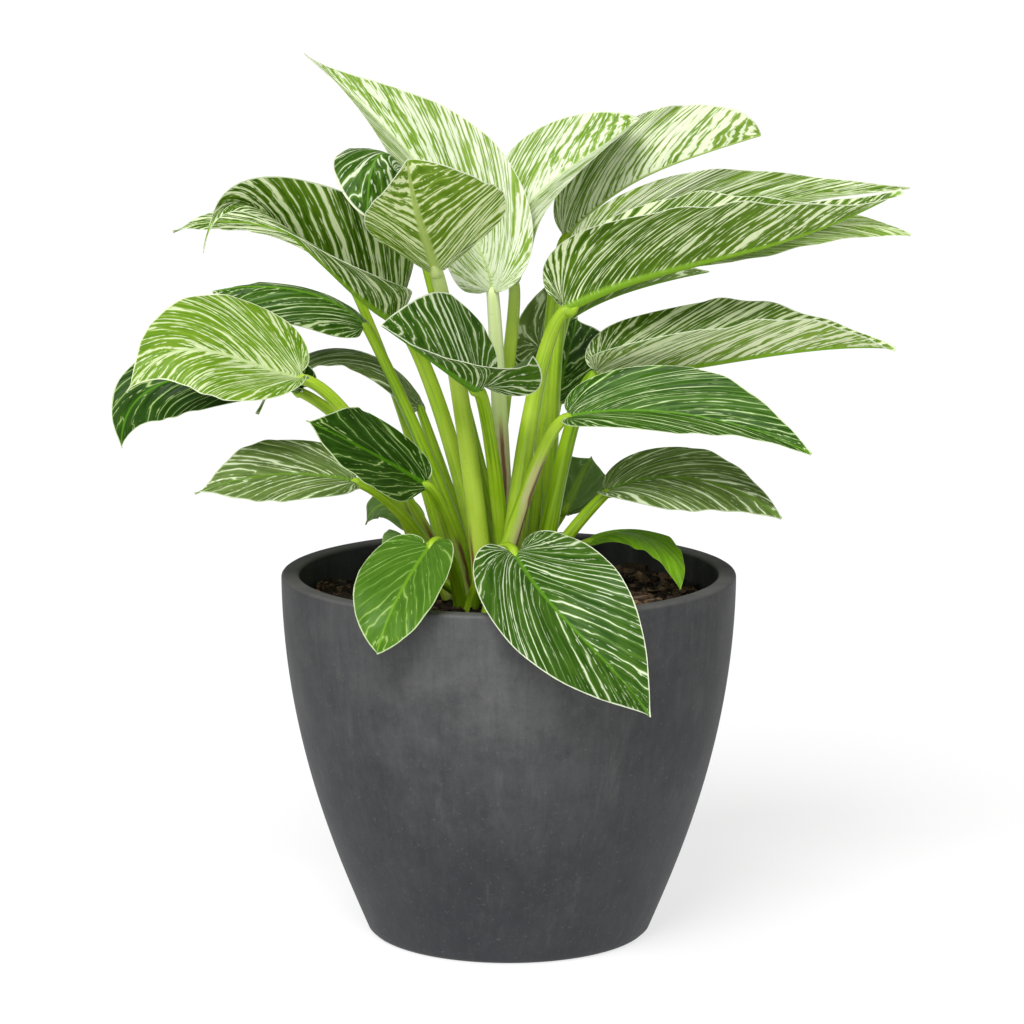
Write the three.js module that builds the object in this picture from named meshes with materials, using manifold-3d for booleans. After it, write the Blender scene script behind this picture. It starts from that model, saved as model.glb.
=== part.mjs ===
// Philodendron birkin in a round tapered planter.
// Millimetres, +Z up, origin at the centre of the planter's underside, -Y is the front.
import * as THREE from "three";
import Module from "manifold-3d";

// ---- driving dimensions -------------------------------------------------

const potHeight = 225;
const potRadius = 140;
const footRadius = 87;
const wallThickness = 11;
const floorThickness = 14;
const potSides = 48;

const soilLevel = 201;
const soilCrown = 4;
const gap = 0.3;
const holeClearance = 0.4;

const bladeThickness = 1.1;
const ribDepth = 1.3;
const stemSides = 8;
const stemSteps = 8;
const stemFootLevel = 184;
const stemClearance = 0.9;

// Each leaf: rib runs through four points from the base of the blade to its tip. The blade has its
// full width at the share widest of its length, narrows sooner with a larger taper, and skew narrows
// the right half. Face is the way the upper side looks (tipFace at the tip). Fold lifts the right
// and the left half, in degrees (tipFold at the tip, reached late with a larger foldPace), and curl
// bends them on towards the margin. Lobe is the reach of the two lobes behind the base, wave the
// height of the waves at the margin. Foot is where the stalk stands in the soil and girth its radius
// there; rise and neck are the handles at its two ends, and bend holds those in between.
const usual = {
  widest: 0.45, taper: 1.2, skew: 1, foldPace: 0.5, wave: 1.5, bend: [],
};

const leaves = [
  {
    rib: [[-10, 4, 398], [-28, 10, 439], [-69, 24, 488], [-125, 42, 539]], width: 92,
    face: [0, -0.97, 0.2], fold: [70, 45], tipFold: [0, 85], curl: -12, lobe: [2, 2],
    widest: 0.4, taper: 1.6, wave: 2.5, foot: [-1, 10], girth: 7.5, rise: 24, neck: 30,
  },
  {
    rib: [[3, 24, 400], [9, 22, 443], [40, 24, 472], [80, 28, 500]], width: 72,
    face: [0, -0.97, 0.25], fold: [50, -60], tipFold: [85, 0], curl: -10, lobe: [-8, 6],
    widest: 0.5, taper: 0.7, foot: [-19, 36], girth: 6.5, rise: 34, neck: 17,
  },
  {
    rib: [[-43, -48, 415], [-50, -74, 441], [-55, -101, 464], [-58, -122, 487]], width: 104,
    face: [0, 0.9, 0.4], fold: [10, 0], tipFold: [-60, -10], foldPace: 2, curl: 8,
    lobe: [-12, -12], widest: 0.5, taper: 0.5, skew: 0.6, foot: [-14, -26], girth: 7.5,
    rise: 73, neck: 24,
  },
  {
    rib: [[-56, -36, 452], [-64, -40, 477], [-77, -46, 483], [-83, -56, 448]], width: 72,
    face: [0, 0.2, 1], tipFace: [0, -0.3, 1], fold: [0, 10], tipFold: [0, -30], curl: -10,
    lobe: [2, 2], widest: 0.5, taper: 0.7, foot: [3, -4], girth: 5, rise: 41, neck: 17,
  },
  {
    rib: [[-69, 2, 379], [-112, -26, 418], [-154, -46, 454], [-181, -50, 426]], width: 100,
    face: [0.2, -0.9, 0.35], fold: [30, 125], tipFold: [70, 40], foldPace: 0.85, curl: -12,
    lobe: [-5, -8], widest: 0.3, taper: 2.3, foot: [-11, -4], girth: 7, rise: 41, neck: 26,
  },
  {
    rib: [[-111, 64, 413], [-139, 62, 427], [-173, 58, 434], [-208, 50, 429]], width: 26,
    face: [0, -0.5, 0.87], fold: [15, 15], curl: -10, lobe: [6, 6], foot: [-31, 25], girth: 5,
    rise: 23, neck: 17, bend: [[-66, 93, 320]],
  },
  {
    rib: [[-18, -68, 346], [-37, -82, 361], [-57, -95, 377], [-74, -106, 390]], width: 92,
    face: [0.55, -0.7, 0.3], fold: [0, 120], tipFold: [5, 60], curl: -10, lobe: [14, 30],
    widest: 0.4, foot: [-2, -16], girth: 5.5, rise: 77, neck: 6,
  },
  {
    rib: [[-125, -30, 348], [-161, -40, 361], [-195, -52, 368], [-227, -60, 344]], width: 76,
    face: [0, -0.64, 0.77], fold: [35, 60], tipFold: [35, -20], curl: -14, lobe: [5, 5],
    widest: 0.4, taper: 1.45, foot: [-39, 2], girth: 6.5, rise: 28, neck: 36,
  },
  {
    rib: [[-127, -2, 336], [-170, 0, 346], [-216, -2, 339], [-236, -6, 302]], width: 60,
    face: [0, -0.6, 0.8], fold: [10, 65], tipFold: [10, -25], curl: -10, lobe: [8, 4],
    foot: [-31, 13], girth: 5.5, rise: 43, neck: 47,
  },
  {
    rib: [[-55, 36, 321], [-80, 42, 348], [-120, 46, 353], [-157, 42, 316]], width: 46,
    face: [0, 0.1, 1], fold: [5, -20], curl: -10, lobe: [4, 4], foot: [-11, 21], girth: 5.5,
    rise: 14, neck: 19,
  },
  {
    rib: [[-50, -50, 287], [-72, -65, 303], [-93, -85, 318], [-118, -98, 333]], width: 54,
    face: [0.3, -0.7, 0.6], fold: [10, 10], curl: -10, lobe: [2, -4], widest: 0.5,
    foot: [-25, 0], girth: 6, rise: 43, neck: 13,
  },
  {
    rib: [[-88, 22, 374], [-117, 26, 392], [-152, 32, 397], [-183, 38, 393]], width: 56,
    face: [0, -0.1, 1], fold: [-5, -20], tipFold: [-5, -40], curl: -14, lobe: [4, 4],
    foot: [-16, 10], girth: 5.5, rise: 45, neck: 7,
  },
  {
    rib: [[-93, -34, 286], [-124, -38, 291], [-155, -44, 290], [-188, -52, 282]], width: 54,
    face: [0, -0.57, 0.82], fold: [19, 35], tipFold: [19, 0], curl: -12, lobe: [5, 5],
    taper: 1.5, foot: [-33, -11], girth: 5.5, rise: 51, neck: 20,
  },
  {
    rib: [[-60, 35, 249], [-70, 42, 257], [-81, 48, 257], [-90, 55, 244]], width: 24,
    face: [0, -0.7, 0.7], fold: [10, 10], curl: -10, lobe: [4, 4], foot: [-22, 19], girth: 4,
    rise: 21, neck: 18,
  },
  {
    rib: [[-46, -92, 257], [-57, -114, 244], [-68, -134, 226], [-76, -142, 203]], width: 58,
    face: [0, -0.7, 0.7], fold: [5, 62], tipFold: [5, 20], curl: -8, lobe: [5, 1], widest: 0.4,
    taper: 0.9, foot: [-28, -22], girth: 5, rise: 32, neck: 23,
  },
  {
    rib: [[-53, -50, 237], [-60, -60, 250], [-67, -68, 256], [-76, -80, 249]], width: 22,
    face: [0, -0.5, 0.85], fold: [10, 10], curl: -8, lobe: [3, 3], foot: [-21, -11], girth: 4,
    rise: 35, neck: 19,
  },
  {
    rib: [[3, -92, 253], [26, -135, 229], [55, -152, 201], [82, -152, 168]], width: 84,
    face: [0.1, -0.95, 0.3], fold: [42, 5], tipFold: [32, 10], curl: -10, lobe: [2, 18],
    widest: 0.35, taper: 1.25, foot: [-25, -34], girth: 5, rise: 41, neck: 23,
  },
  {
    rib: [[36, 36, 427], [67, 38, 454], [103, 40, 472], [155, 42, 489]], width: 72,
    face: [0, -0.95, 0.3], fold: [-105, 20], tipFold: [-105, 5], curl: -10, lobe: [4, 0],
    widest: 0.6, taper: 0.42, wave: 2.5, foot: [16, 27], girth: 6, rise: 26, neck: 18,
  },
  {
    rib: [[41, 12, 414], [86, 12, 433], [147, 10, 449], [243, 6, 460]], width: 56,
    face: [0, -0.9, 0.4], fold: [60, 15], tipFold: [60, 45], curl: -10, lobe: [4, 4],
    wave: 2.5, foot: [24, -1], girth: 6, rise: 29, neck: 17,
  },
  {
    rib: [[35, -30, 390], [95, -38, 414], [158, -44, 431], [233, -48, 463]], width: 104,
    face: [0, 0, 1], fold: [85, 55], tipFold: [38, 50], curl: -10, lobe: [8, 8], widest: 0.35,
    wave: 2.5, foot: [-3, -40], girth: 8, rise: 16, neck: 26,
  },
  {
    rib: [[50, 28, 404], [111, 26, 421], [178, 24, 435], [246, 20, 430]], width: 46,
    face: [0, -0.57, 0.82], fold: [75, 5], tipFold: [-20, 5], curl: -10, lobe: [4, 4],
    foot: [12, 3], girth: 5, rise: 28, neck: 26,
  },
  {
    rib: [[23, 62, 354], [45, 68, 376], [82, 74, 391], [126, 80, 401]], width: 56,
    face: [0, -0.9, 0.4], fold: [-105, 3], curl: -10, lobe: [8, 16], foot: [-6, 33], girth: 5,
    rise: 32, neck: 18,
  },
  {
    rib: [[53, -12, 348], [110, -18, 354], [172, -24, 364], [233, -26, 366]], width: 84,
    face: [0, 0, 1], fold: [45, 75], tipFold: [45, 50], curl: -12, lobe: [6, 10], widest: 0.4,
    wave: 2.2, foot: [15, -13], girth: 8, rise: 36, neck: 12,
  },
  {
    rib: [[30, 66, 320], [34, 78, 336], [39, 100, 351], [44, 128, 366]], width: 74,
    face: [0, -0.8, 0.6], fold: [15, 15], curl: -10, lobe: [-4, -4], foot: [2, 24], girth: 5,
    rise: 35, neck: 16,
  },
  {
    rib: [[36, -45, 327], [78, -55, 332], [128, -66, 327], [179, -78, 310]], width: 60,
    face: [0, -0.57, 0.82], fold: [30, 30], tipFold: [30, 30], curl: -12, lobe: [4, 4],
    widest: 0.5, foot: [-15, -53], girth: 7.2, rise: 16, neck: 20,
  },
  {
    rib: [[60, -20, 277], [88, -28, 287], [126, -38, 285], [164, -48, 266]], width: 54,
    face: [0, -0.54, 0.84], fold: [58, 6], tipFold: [-20, 6], curl: -10, lobe: [4, 4],
    foot: [5, -27], girth: 5.5, rise: 39, neck: 6,
  },
  {
    rib: [[34, 80, 247], [41, 78, 261], [46, 74, 273], [52, 68, 285]], width: 48,
    face: [0, 0.95, 0.3], fold: [8, 8], curl: 8, lobe: [-6, -6], widest: 0.5, foot: [5, 34],
    girth: 4.5, rise: 40, neck: 22,
  },
  {
    rib: [[51, 15, 241], [75, 5, 247], [95, -18, 240], [104, -36, 220]], width: 30,
    face: [0, -0.2, 1], fold: [8, -5], curl: -10, lobe: [4, 4], foot: [12, 15], girth: 4.5,
    rise: 53, neck: 11,
  },
].map((leaf) => ({ ...usual, tipFace: leaf.face, tipFold: leaf.fold, ...leaf }));

// ---- materials ----------------------------------------------------------

function material(colour, roughness) {
  return new THREE.MeshStandardMaterial({ color: colour, roughness, metalness: 0 });
}

const potMaterial = material(0x3b3e42, 0.75);
const soilMaterial = material(0x2a1c13, 0.95);
const bladeMaterial = material(0x4f8a2e, 0.4);
const stemMaterial = material(0x8fbf3f, 0.45);

// ---- curves -------------------------------------------------------------

function vector(values) {
  return new THREE.Vector3(values[0], values[1], values[2]);
}

// Point at t on the cubic that passes through four points at t = 0, 1/3, 2/3 and 1.
function ribPoint(points, t) {
  const weights = [
    -4.5 * (t - 1 / 3) * (t - 2 / 3) * (t - 1),
    13.5 * t * (t - 2 / 3) * (t - 1),
    -13.5 * t * (t - 1 / 3) * (t - 1),
    4.5 * t * (t - 1 / 3) * (t - 2 / 3),
  ];
  const sum = new THREE.Vector3();
  points.forEach((point, i) => sum.addScaledVector(point, weights[i]));
  return sum;
}

function ribDirection(points, t) {
  return ribPoint(points, t + 0.001).sub(ribPoint(points, t - 0.001)).normalize();
}

function ribLength(points) {
  const steps = points.slice(1).map((point, i) => point.distanceTo(points[i]));
  return steps.reduce((sum, step) => sum + step, 0);
}

// Point at t on the Bezier curve of any number of handles.
function bezierPoint(handles, t) {
  let row = handles.map((handle) => handle.clone());
  while (row.length > 1) {
    row = row.slice(1).map((point, i) => row[i].clone().lerp(point, t));
  }
  return row[0];
}

// ---- leaf blade ---------------------------------------------------------

// Veins fan out from the rib to these places on the margin; the first one runs along the base edge.
const marginSteps = [0, 0.06, 0.13, 0.21, 0.3, 0.42, 0.55, 0.68, 0.8, 0.91, 1];
// Places along a vein, counted from the edge of the thick rib to the margin.
const veinSteps = [0, 0.45, 1];
const lobeShare = 0.3;

function halfWidth(leaf, side) {
  return (leaf.width / 2) * (side > 0 ? leaf.skew : 1);
}

function stemTipRadius(leaf) {
  return 2 + 0.02 * leaf.width;
}

// The notch at the base of the blade leaves room for the stalk.
function sinusHalfWidth(leaf) {
  return stemTipRadius(leaf) + 1.3;
}

// Margin in shares of the length and of the half width.
function marginPoint(leaf, t, side) {
  const lobe = leaf.lobe[side > 0 ? 0 : 1] / ribLength(leaf.rib.map(vector));
  const sinus = sinusHalfWidth(leaf) / halfWidth(leaf, side);
  if (t < lobeShare) {
    const handles = [
      new THREE.Vector3(0, sinus, 0),
      new THREE.Vector3(-1.5 * lobe, sinus + 0.1, 0),
      new THREE.Vector3(-1.2 * lobe, 1, 0),
      new THREE.Vector3(leaf.widest, 1, 0),
    ];
    return bezierPoint(handles, t / lobeShare);
  }
  const s = (t - lobeShare) / (1 - lobeShare);
  return new THREE.Vector3(THREE.MathUtils.lerp(leaf.widest, 1, s), (1 - s ** 2) ** leaf.taper, 0);
}

function veinStart(t) {
  return t < 0.2 ? 0 : ((t - 0.2) / 0.8) ** 1.3;
}

// Middle surface of the blade at a distance along the rib, in shares, and across it, in mm.
function bladePoint(leaf, along, across, side, lift) {
  const points = leaf.rib.map(vector);
  const onRib = Math.max(along, 0);
  const direction = ribDirection(points, onRib);
  const face = vector(leaf.face).lerp(vector(leaf.tipFace), onRib);
  const normal = face.addScaledVector(direction, -face.dot(direction)).normalize();
  const sideways = direction.clone().cross(normal).multiplyScalar(side);

  const atBase = leaf.fold[side > 0 ? 0 : 1];
  const atTip = leaf.tipFold[side > 0 ? 0 : 1];
  const towardsTip = onRib ** leaf.foldPace;
  const fold = THREE.MathUtils.degToRad(THREE.MathUtils.lerp(atBase, atTip, towardsTip));
  const bending = THREE.MathUtils.degToRad(leaf.curl) / halfWidth(leaf, side);
  const angle = fold + bending * across;
  const point = ribPoint(points, onRib);
  point.addScaledVector(direction, Math.min(along, 0) * ribLength(points));
  point.addScaledVector(sideways, (Math.sin(angle) - Math.sin(fold)) / bending);
  return point.addScaledVector(normal, (Math.cos(fold) - Math.cos(angle)) / bending + lift);
}

// Point on vein t, at share u of the way from the edge of the rib to the margin.
function veinPoint(leaf, t, u, side) {
  const margin = marginPoint(leaf, t, side);
  const start = veinStart(t);
  const ribEdge = sinusHalfWidth(leaf) * (1 - t);
  const along = start + (margin.x - start) * u ** 1.3;
  const across = ribEdge + (margin.y * halfWidth(leaf, side) - ribEdge) * u;
  const wave = leaf.wave * u * u * Math.sin(9 * t + 2 * side);
  return bladePoint(leaf, along, across, side, wave);
}

// Middle surface of a blade: a fan of veins on both sides of the rib, closed up at base and tip.
function bladeSheet(leaf) {
  const ribSteps = marginSteps.filter((t) => t === 0 || veinStart(t) > 0);
  const points = ribSteps.map((t) => bladePoint(leaf, veinStart(t), 0, 1, 0));
  const faces = [];
  for (const side of [1, -1]) {
    const rows = marginSteps.map((t) => {
      const onRib = Math.max(ribSteps.indexOf(t), 0);
      if (t === 1) {
        return [onRib, ...veinSteps.map(() => onRib)];
      }
      if (t === 0) {
        const corner = points.push(veinPoint(leaf, t, 0, side)) - 1;
        return [onRib, ...veinSteps.map(() => corner)];
      }
      return [onRib, ...veinSteps.map((u) => points.push(veinPoint(leaf, t, u, side)) - 1)];
    });
    for (let i = 0; i + 1 < rows.length; i += 1) {
      for (let j = 0; j < veinSteps.length; j += 1) {
        const corners = [rows[i][j], rows[i][j + 1], rows[i + 1][j + 1], rows[i + 1][j]];
        if (side < 0) {
          corners.reverse();
        }
        faces.push([corners[0], corners[1], corners[2]], [corners[0], corners[2], corners[3]]);
      }
    }
  }
  const isFull = (face) => new Set(face).size === 3;
  return { points, faces: faces.filter(isFull), ribCount: ribSteps.length };
}

// Turns a sheet into a closed solid, thicker below along the rib.
function thicken(sheet) {
  const normals = sheet.points.map(() => new THREE.Vector3());
  for (const [a, b, c] of sheet.faces) {
    const second = sheet.points[c].clone().sub(sheet.points[a]);
    const normal = sheet.points[b].clone().sub(sheet.points[a]).cross(second);
    [a, b, c].forEach((i) => normals[i].add(normal));
  }
  normals.forEach((normal) => normal.normalize());

  const count = sheet.points.length;
  const above = sheet.points.map((p, i) => p.clone().addScaledVector(normals[i], bladeThickness / 2));
  const below = sheet.points.map((p, i) => {
    const taper = 1 - i / (sheet.ribCount - 1);
    const keel = i < sheet.ribCount ? ribDepth * taper : 0;
    return p.clone().addScaledVector(normals[i], -bladeThickness / 2 - keel);
  });

  const triangles = [];
  const edges = new Map();
  for (const [a, b, c] of sheet.faces) {
    triangles.push([a, b, c], [c + count, b + count, a + count]);
    for (const [from, to] of [[a, b], [b, c], [c, a]]) {
      if (!edges.delete(`${to},${from}`)) {
        edges.set(`${from},${to}`, [from, to]);
      }
    }
  }
  for (const [from, to] of edges.values()) {
    triangles.push([to, from, from + count], [to, from + count, to + count]);
  }
  return solid([...above, ...below], triangles);
}

// ---- closed bodies ------------------------------------------------------

function solid(points, triangles) {
  const geometry = new THREE.BufferGeometry();
  const positions = points.flatMap((point) => [point.x, point.y, point.z]);
  geometry.setAttribute("position", new THREE.Float32BufferAttribute(positions, 3));
  geometry.setIndex(triangles.flat());
  geometry.computeVertexNormals();
  return geometry;
}

// Joins rings of equal size into a closed body with a point at either end.
function loft(start, rings, end) {
  const sides = rings[0].length;
  const points = [start, ...rings.flat(), end];
  const last = points.length - 1;
  const triangles = [];
  for (let i = 0; i < sides; i += 1) {
    const next = (i + 1) % sides;
    triangles.push([0, 1 + next, 1 + i]);
    triangles.push([last, last - sides + i, last - sides + next]);
    for (let j = 0; j + 1 < rings.length; j += 1) {
      const low = 1 + j * sides;
      const high = low + sides;
      triangles.push([low + i, low + next, high + next], [low + i, high + next, high + i]);
    }
  }
  return solid(points, triangles);
}

// Body of revolution; the profile runs from the axis at the bottom out, up and back to the axis.
function revolve(profile, sides) {
  const ends = [profile[0], profile[profile.length - 1]];
  const rings = profile.slice(1, -1).map(([radius, height]) => {
    return Array.from({ length: sides }, (_, i) => {
      const turn = (2 * Math.PI * (i + 0.5)) / sides;
      return new THREE.Vector3(radius * Math.cos(turn), radius * Math.sin(turn), height);
    });
  });
  return loft(new THREE.Vector3(0, 0, ends[0][1]), rings, new THREE.Vector3(0, 0, ends[1][1]));
}

// ---- leaf stalk ---------------------------------------------------------

function stemHandles(leaf) {
  const points = leaf.rib.map(vector);
  const direction = ribDirection(points, 0);
  const end = points[0].clone().addScaledVector(direction, -stemClearance);
  const neck = end.clone().addScaledVector(direction, -leaf.neck);
  const foot = new THREE.Vector3(leaf.foot[0], leaf.foot[1], stemFootLevel);
  const rise = foot.clone().add(new THREE.Vector3(0, 0, leaf.rise));
  return [foot, rise, ...leaf.bend.map(vector), neck, end];
}

// Round stalk from the soil to the blade; extra widens it, to cut its hole.
function stemSolid(leaf, extra) {
  const handles = stemHandles(leaf);
  let across = new THREE.Vector3(1, 0, 0);
  const rings = [];
  for (let i = 0; i <= stemSteps; i += 1) {
    const t = i / stemSteps;
    const direction = bezierPoint(handles, Math.min(t + 0.01, 1))
      .sub(bezierPoint(handles, Math.max(t - 0.01, 0))).normalize();
    across = across.clone().addScaledVector(direction, -across.dot(direction)).normalize();
    const other = direction.clone().cross(across);
    const radius = THREE.MathUtils.lerp(leaf.girth, stemTipRadius(leaf), t ** 0.8) + extra;
    const centre = bezierPoint(handles, t);
    rings.push(Array.from({ length: stemSides }, (_, k) => {
      const turn = (2 * Math.PI * k) / stemSides;
      return centre.clone().addScaledVector(across, radius * Math.cos(turn))
        .addScaledVector(other, radius * Math.sin(turn));
    }));
  }
  const start = handles[0].clone();
  start.z -= extra;
  if (extra > 0) {
    rings[0].forEach((point) => {
      point.z -= extra;
    });
  }
  return loft(start, rings, handles[handles.length - 1]);
}

// ---- planter and soil ---------------------------------------------------

// Radius of the outside of the planter at a height, straightening towards the rim.
function outerRadius(height) {
  const share = height / potHeight;
  return footRadius + (potRadius - footRadius) * (1 - (1 - share) ** 2) ** 1.05;
}

const profileHeights = [10, 30, 55, 80, 105, 130, 155, 180, 205, 220];

function potGeometry() {
  const rim = outerRadius(potHeight);
  const outside = profileHeights.map((height) => [outerRadius(height), height]);
  const inside = profileHeights.slice(1).reverse()
    .map((height) => [outerRadius(height) - wallThickness, height]);
  return revolve([
    [0, 0], [footRadius - 4, 0], [outerRadius(3), 3], ...outside,
    [rim - 2, potHeight], [rim - wallThickness + 2, potHeight], ...inside,
    [outerRadius(floorThickness) - wallThickness, floorThickness], [0, floorThickness],
  ], potSides);
}

function soilGeometry() {
  const wall = profileHeights.filter((height) => height > floorThickness && height < soilLevel)
    .map((height) => [outerRadius(height) - wallThickness - gap, height]);
  const bottom = floorThickness + gap;
  return revolve([
    [0, bottom], [outerRadius(bottom) - wallThickness - gap, bottom], ...wall,
    [outerRadius(soilLevel) - wallThickness - gap - 0.2, soilLevel],
    [70, soilLevel + soilCrown], [0, soilLevel + soilCrown],
  ], potSides);
}

// ---- joining and cutting ------------------------------------------------

const wasm = await Module();
wasm.setup();

function toManifold(geometry) {
  return new wasm.Manifold(new wasm.Mesh({
    numProp: 3,
    vertProperties: new Float32Array(geometry.getAttribute("position").array),
    triVerts: new Uint32Array(geometry.index.array),
  }));
}

function fromManifold(body) {
  const mesh = body.getMesh();
  const geometry = new THREE.BufferGeometry();
  geometry.setAttribute("position", new THREE.BufferAttribute(mesh.vertProperties, 3));
  geometry.setIndex(new THREE.BufferAttribute(mesh.triVerts, 1));
  geometry.computeVertexNormals();
  return geometry;
}

// ---- assembly -----------------------------------------------------------

const plant = new THREE.Group();
plant.name = "philodendron_birkin";

function addPiece(name, geometry, pieceMaterial) {
  const mesh = new THREE.Mesh(geometry, pieceMaterial);
  mesh.name = name;
  plant.add(mesh);
}

addPiece("pot", potGeometry(), potMaterial);

let soil = toManifold(soilGeometry());
for (const leaf of leaves) {
  soil = soil.subtract(toManifold(stemSolid(leaf, holeClearance)));
}
addPiece("soil", fromManifold(soil), soilMaterial);

leaves.forEach((leaf, i) => {
  const number = String(i + 1).padStart(2, "0");
  addPiece(`leaf_${number}`, thicken(bladeSheet(leaf)), bladeMaterial);
  addPiece(`stem_${number}`, stemSolid(leaf, 0), stemMaterial);
});

export default plant;
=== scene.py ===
import math

import bpy
import numpy as np
from mathutils import Matrix, Vector


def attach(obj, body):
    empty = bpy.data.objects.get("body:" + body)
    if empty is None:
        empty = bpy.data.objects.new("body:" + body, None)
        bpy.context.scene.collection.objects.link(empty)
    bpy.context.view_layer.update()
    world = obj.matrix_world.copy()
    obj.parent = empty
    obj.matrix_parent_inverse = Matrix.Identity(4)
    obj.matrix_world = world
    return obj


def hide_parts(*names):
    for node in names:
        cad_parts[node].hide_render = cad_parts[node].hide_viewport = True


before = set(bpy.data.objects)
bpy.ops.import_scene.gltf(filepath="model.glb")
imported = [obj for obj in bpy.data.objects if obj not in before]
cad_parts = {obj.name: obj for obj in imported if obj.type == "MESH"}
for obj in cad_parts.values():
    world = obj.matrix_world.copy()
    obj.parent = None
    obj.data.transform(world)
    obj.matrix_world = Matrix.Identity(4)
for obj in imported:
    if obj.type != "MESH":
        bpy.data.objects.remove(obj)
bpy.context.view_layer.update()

# Philodendron birkin in a charcoal planter. Metres, +Z up, -Y is the front.
print("frame loaded:", len(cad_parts), "nodes")


class Wire:
    # an output of a node; sums and products of wires add Math nodes
    def __init__(self, finish, socket):
        self.finish = finish
        self.socket = socket

    def join(self, operation, first, second):
        return self.finish.add("ShaderNodeMath", {"operation": operation}, {0: first, 1: second})

    def __add__(self, other):
        return self.join("ADD", self, other)

    def __sub__(self, other):
        return self.join("SUBTRACT", self, other)

    def __rsub__(self, other):
        return self.join("SUBTRACT", other, self)

    def __mul__(self, other):
        return self.join("MULTIPLY", self, other)

    def __truediv__(self, other):
        return self.join("DIVIDE", self, other)

    def __pow__(self, other):
        return self.join("POWER", self, other)

    def __abs__(self):
        return self.join("ABSOLUTE", self, 0.0)

    __radd__ = __add__
    __rmul__ = __mul__


class Finish:
    # a material that is put together node by node
    def __init__(self, name):
        self.material = bpy.data.materials.new(name)
        self.material.use_nodes = True
        self.tree = self.material.node_tree
        self.tree.nodes.clear()

    def add(self, kind, settings=None, sockets=None, output=0):
        node = self.tree.nodes.new(kind)
        for name, value in (settings or {}).items():
            setattr(node, name, value)
        for key, value in (sockets or {}).items():
            if isinstance(value, Wire):
                self.tree.links.new(value.socket, node.inputs[key])
            else:
                node.inputs[key].default_value = value
        return Wire(self, node.outputs[output]) if node.outputs else None

    def attribute(self, name):
        return self.add("ShaderNodeAttribute", {"attribute_name": name}, output="Fac")

    def place(self):
        return self.add("ShaderNodeTexCoord", output="Object")

    def vector(self, x, y, z):
        return self.add("ShaderNodeCombineXYZ", sockets={0: x, 1: y, 2: z})

    def split(self, wire):
        return [self.add("ShaderNodeSeparateXYZ", sockets={0: wire}, output=i) for i in range(3)]

    def noise(self, where, scale=1.0, detail=2.0, roughness=0.5):
        sockets = {"Vector": where, "Scale": scale, "Detail": detail, "Roughness": roughness}
        return self.add("ShaderNodeTexNoise", sockets=sockets)

    def cells(self, where, scale):
        return self.add("ShaderNodeTexVoronoi", sockets={"Vector": where, "Scale": scale})

    # 0 below low and 1 above high, with a smooth step in between
    def step(self, wire, low, high):
        sockets = {"Value": wire, "From Min": low, "From Max": high}
        return self.add("ShaderNodeMapRange", {"interpolation_type": "SMOOTHSTEP"}, sockets)

    def mix(self, factor, low, high):
        low, high = [tuple(c) + (1.0,) if isinstance(c, tuple) else c for c in (low, high)]
        settings = {"data_type": "RGBA"}
        return self.add("ShaderNodeMix", settings, {0: factor, 6: low, 7: high}, output=2)

    # colours over each other, as the layers of the dictionary say
    def layers(self, colour, patterns, make):
        for pattern, edges, share, tint in make["layers"]:
            mask = self.step(patterns[pattern], *edges)
            colour = self.mix(mask * share if share < 1 else mask, colour, make[tint])
        return colour

    def bump(self, height, distance, strength, over=None):
        sockets = {"Height": height, "Distance": distance, "Strength": strength}
        if over:
            sockets["Normal"] = over
        return self.add("ShaderNodeBump", sockets=sockets)

    def close(self, **sockets):
        names = {"colour": "Base Color", "roughness": "Roughness", "normal": "Normal",
                 "specular": "Specular IOR Level", "glow": "Emission Color",
                 "glowStrength": "Emission Strength"}
        shader = self.add("ShaderNodeBsdfPrincipled", sockets={names[k]: v for k, v in sockets.items()})
        self.add("ShaderNodeOutputMaterial", sockets={"Surface": shader})
        return self.material


def unit(vectors):
    return vectors / np.maximum(np.linalg.norm(vectors, axis=-1, keepdims=True), 1e-12)


def addPiece(name, points, faces, material, replaced=None, attributes=None, sharpAngle=60):
    mesh = bpy.data.meshes.new(name)
    mesh.from_pydata([tuple(p) for p in points], [], faces)
    for key, values in (attributes or {}).items():
        layer = mesh.attributes.new(key, "FLOAT", "POINT")
        layer.data.foreach_set("value", np.asarray(values, np.float32))
    mesh.shade_smooth()
    mesh.set_sharp_from_angle(angle=math.radians(sharpAngle))
    mesh.materials.append(material)
    piece = bpy.data.objects.new(name, mesh)
    bpy.context.scene.collection.objects.link(piece)
    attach(piece, "root")
    if replaced:
        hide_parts(replaced)
    return piece


# faces of a closed body of rings between its first and its last point
def ringFaces(rings, sides):
    last = rings * sides + 1
    faces = []
    for i in range(sides):
        j = (i + 1) % sides
        faces.append([0, 1 + j, 1 + i])
        faces.append([last, last - sides + i, last - sides + j])
        for k in range(rings - 1):
            low, high = 1 + k * sides, 1 + (k + 1) * sides
            faces.append([low + i, low + j, high + j, high + i])
    return faces


# Leaves, with the values of the solids. Each rib runs through four points from the base of the blade to
# its tip. Face is the way that the upper side faces; fold is how far the right and the left half are
# lifted, in degrees, and curl how much more at the margin; lobe is how far each lobe reaches back behind
# the base; sweep above 1 bends the side veins towards the tip. The blade is widest at that share of the
# rib, a low taper gives it a blunt end, and skew is the share of its right half. With tipFace and
# tipFold it turns and folds on towards the tip. The stalk stands at foot, with girth as its radius,
# starts straight up over rise and ends in line with the rib over neck; bend lies in between.
usual = dict(curl=-10, lobe=(0.004, 0.004), widest=0.45, taper=1.2, skew=1, foldPace=0.5, wave=0.0015,
             sweep=2.3, girth=0.005, bend=[])

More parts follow.
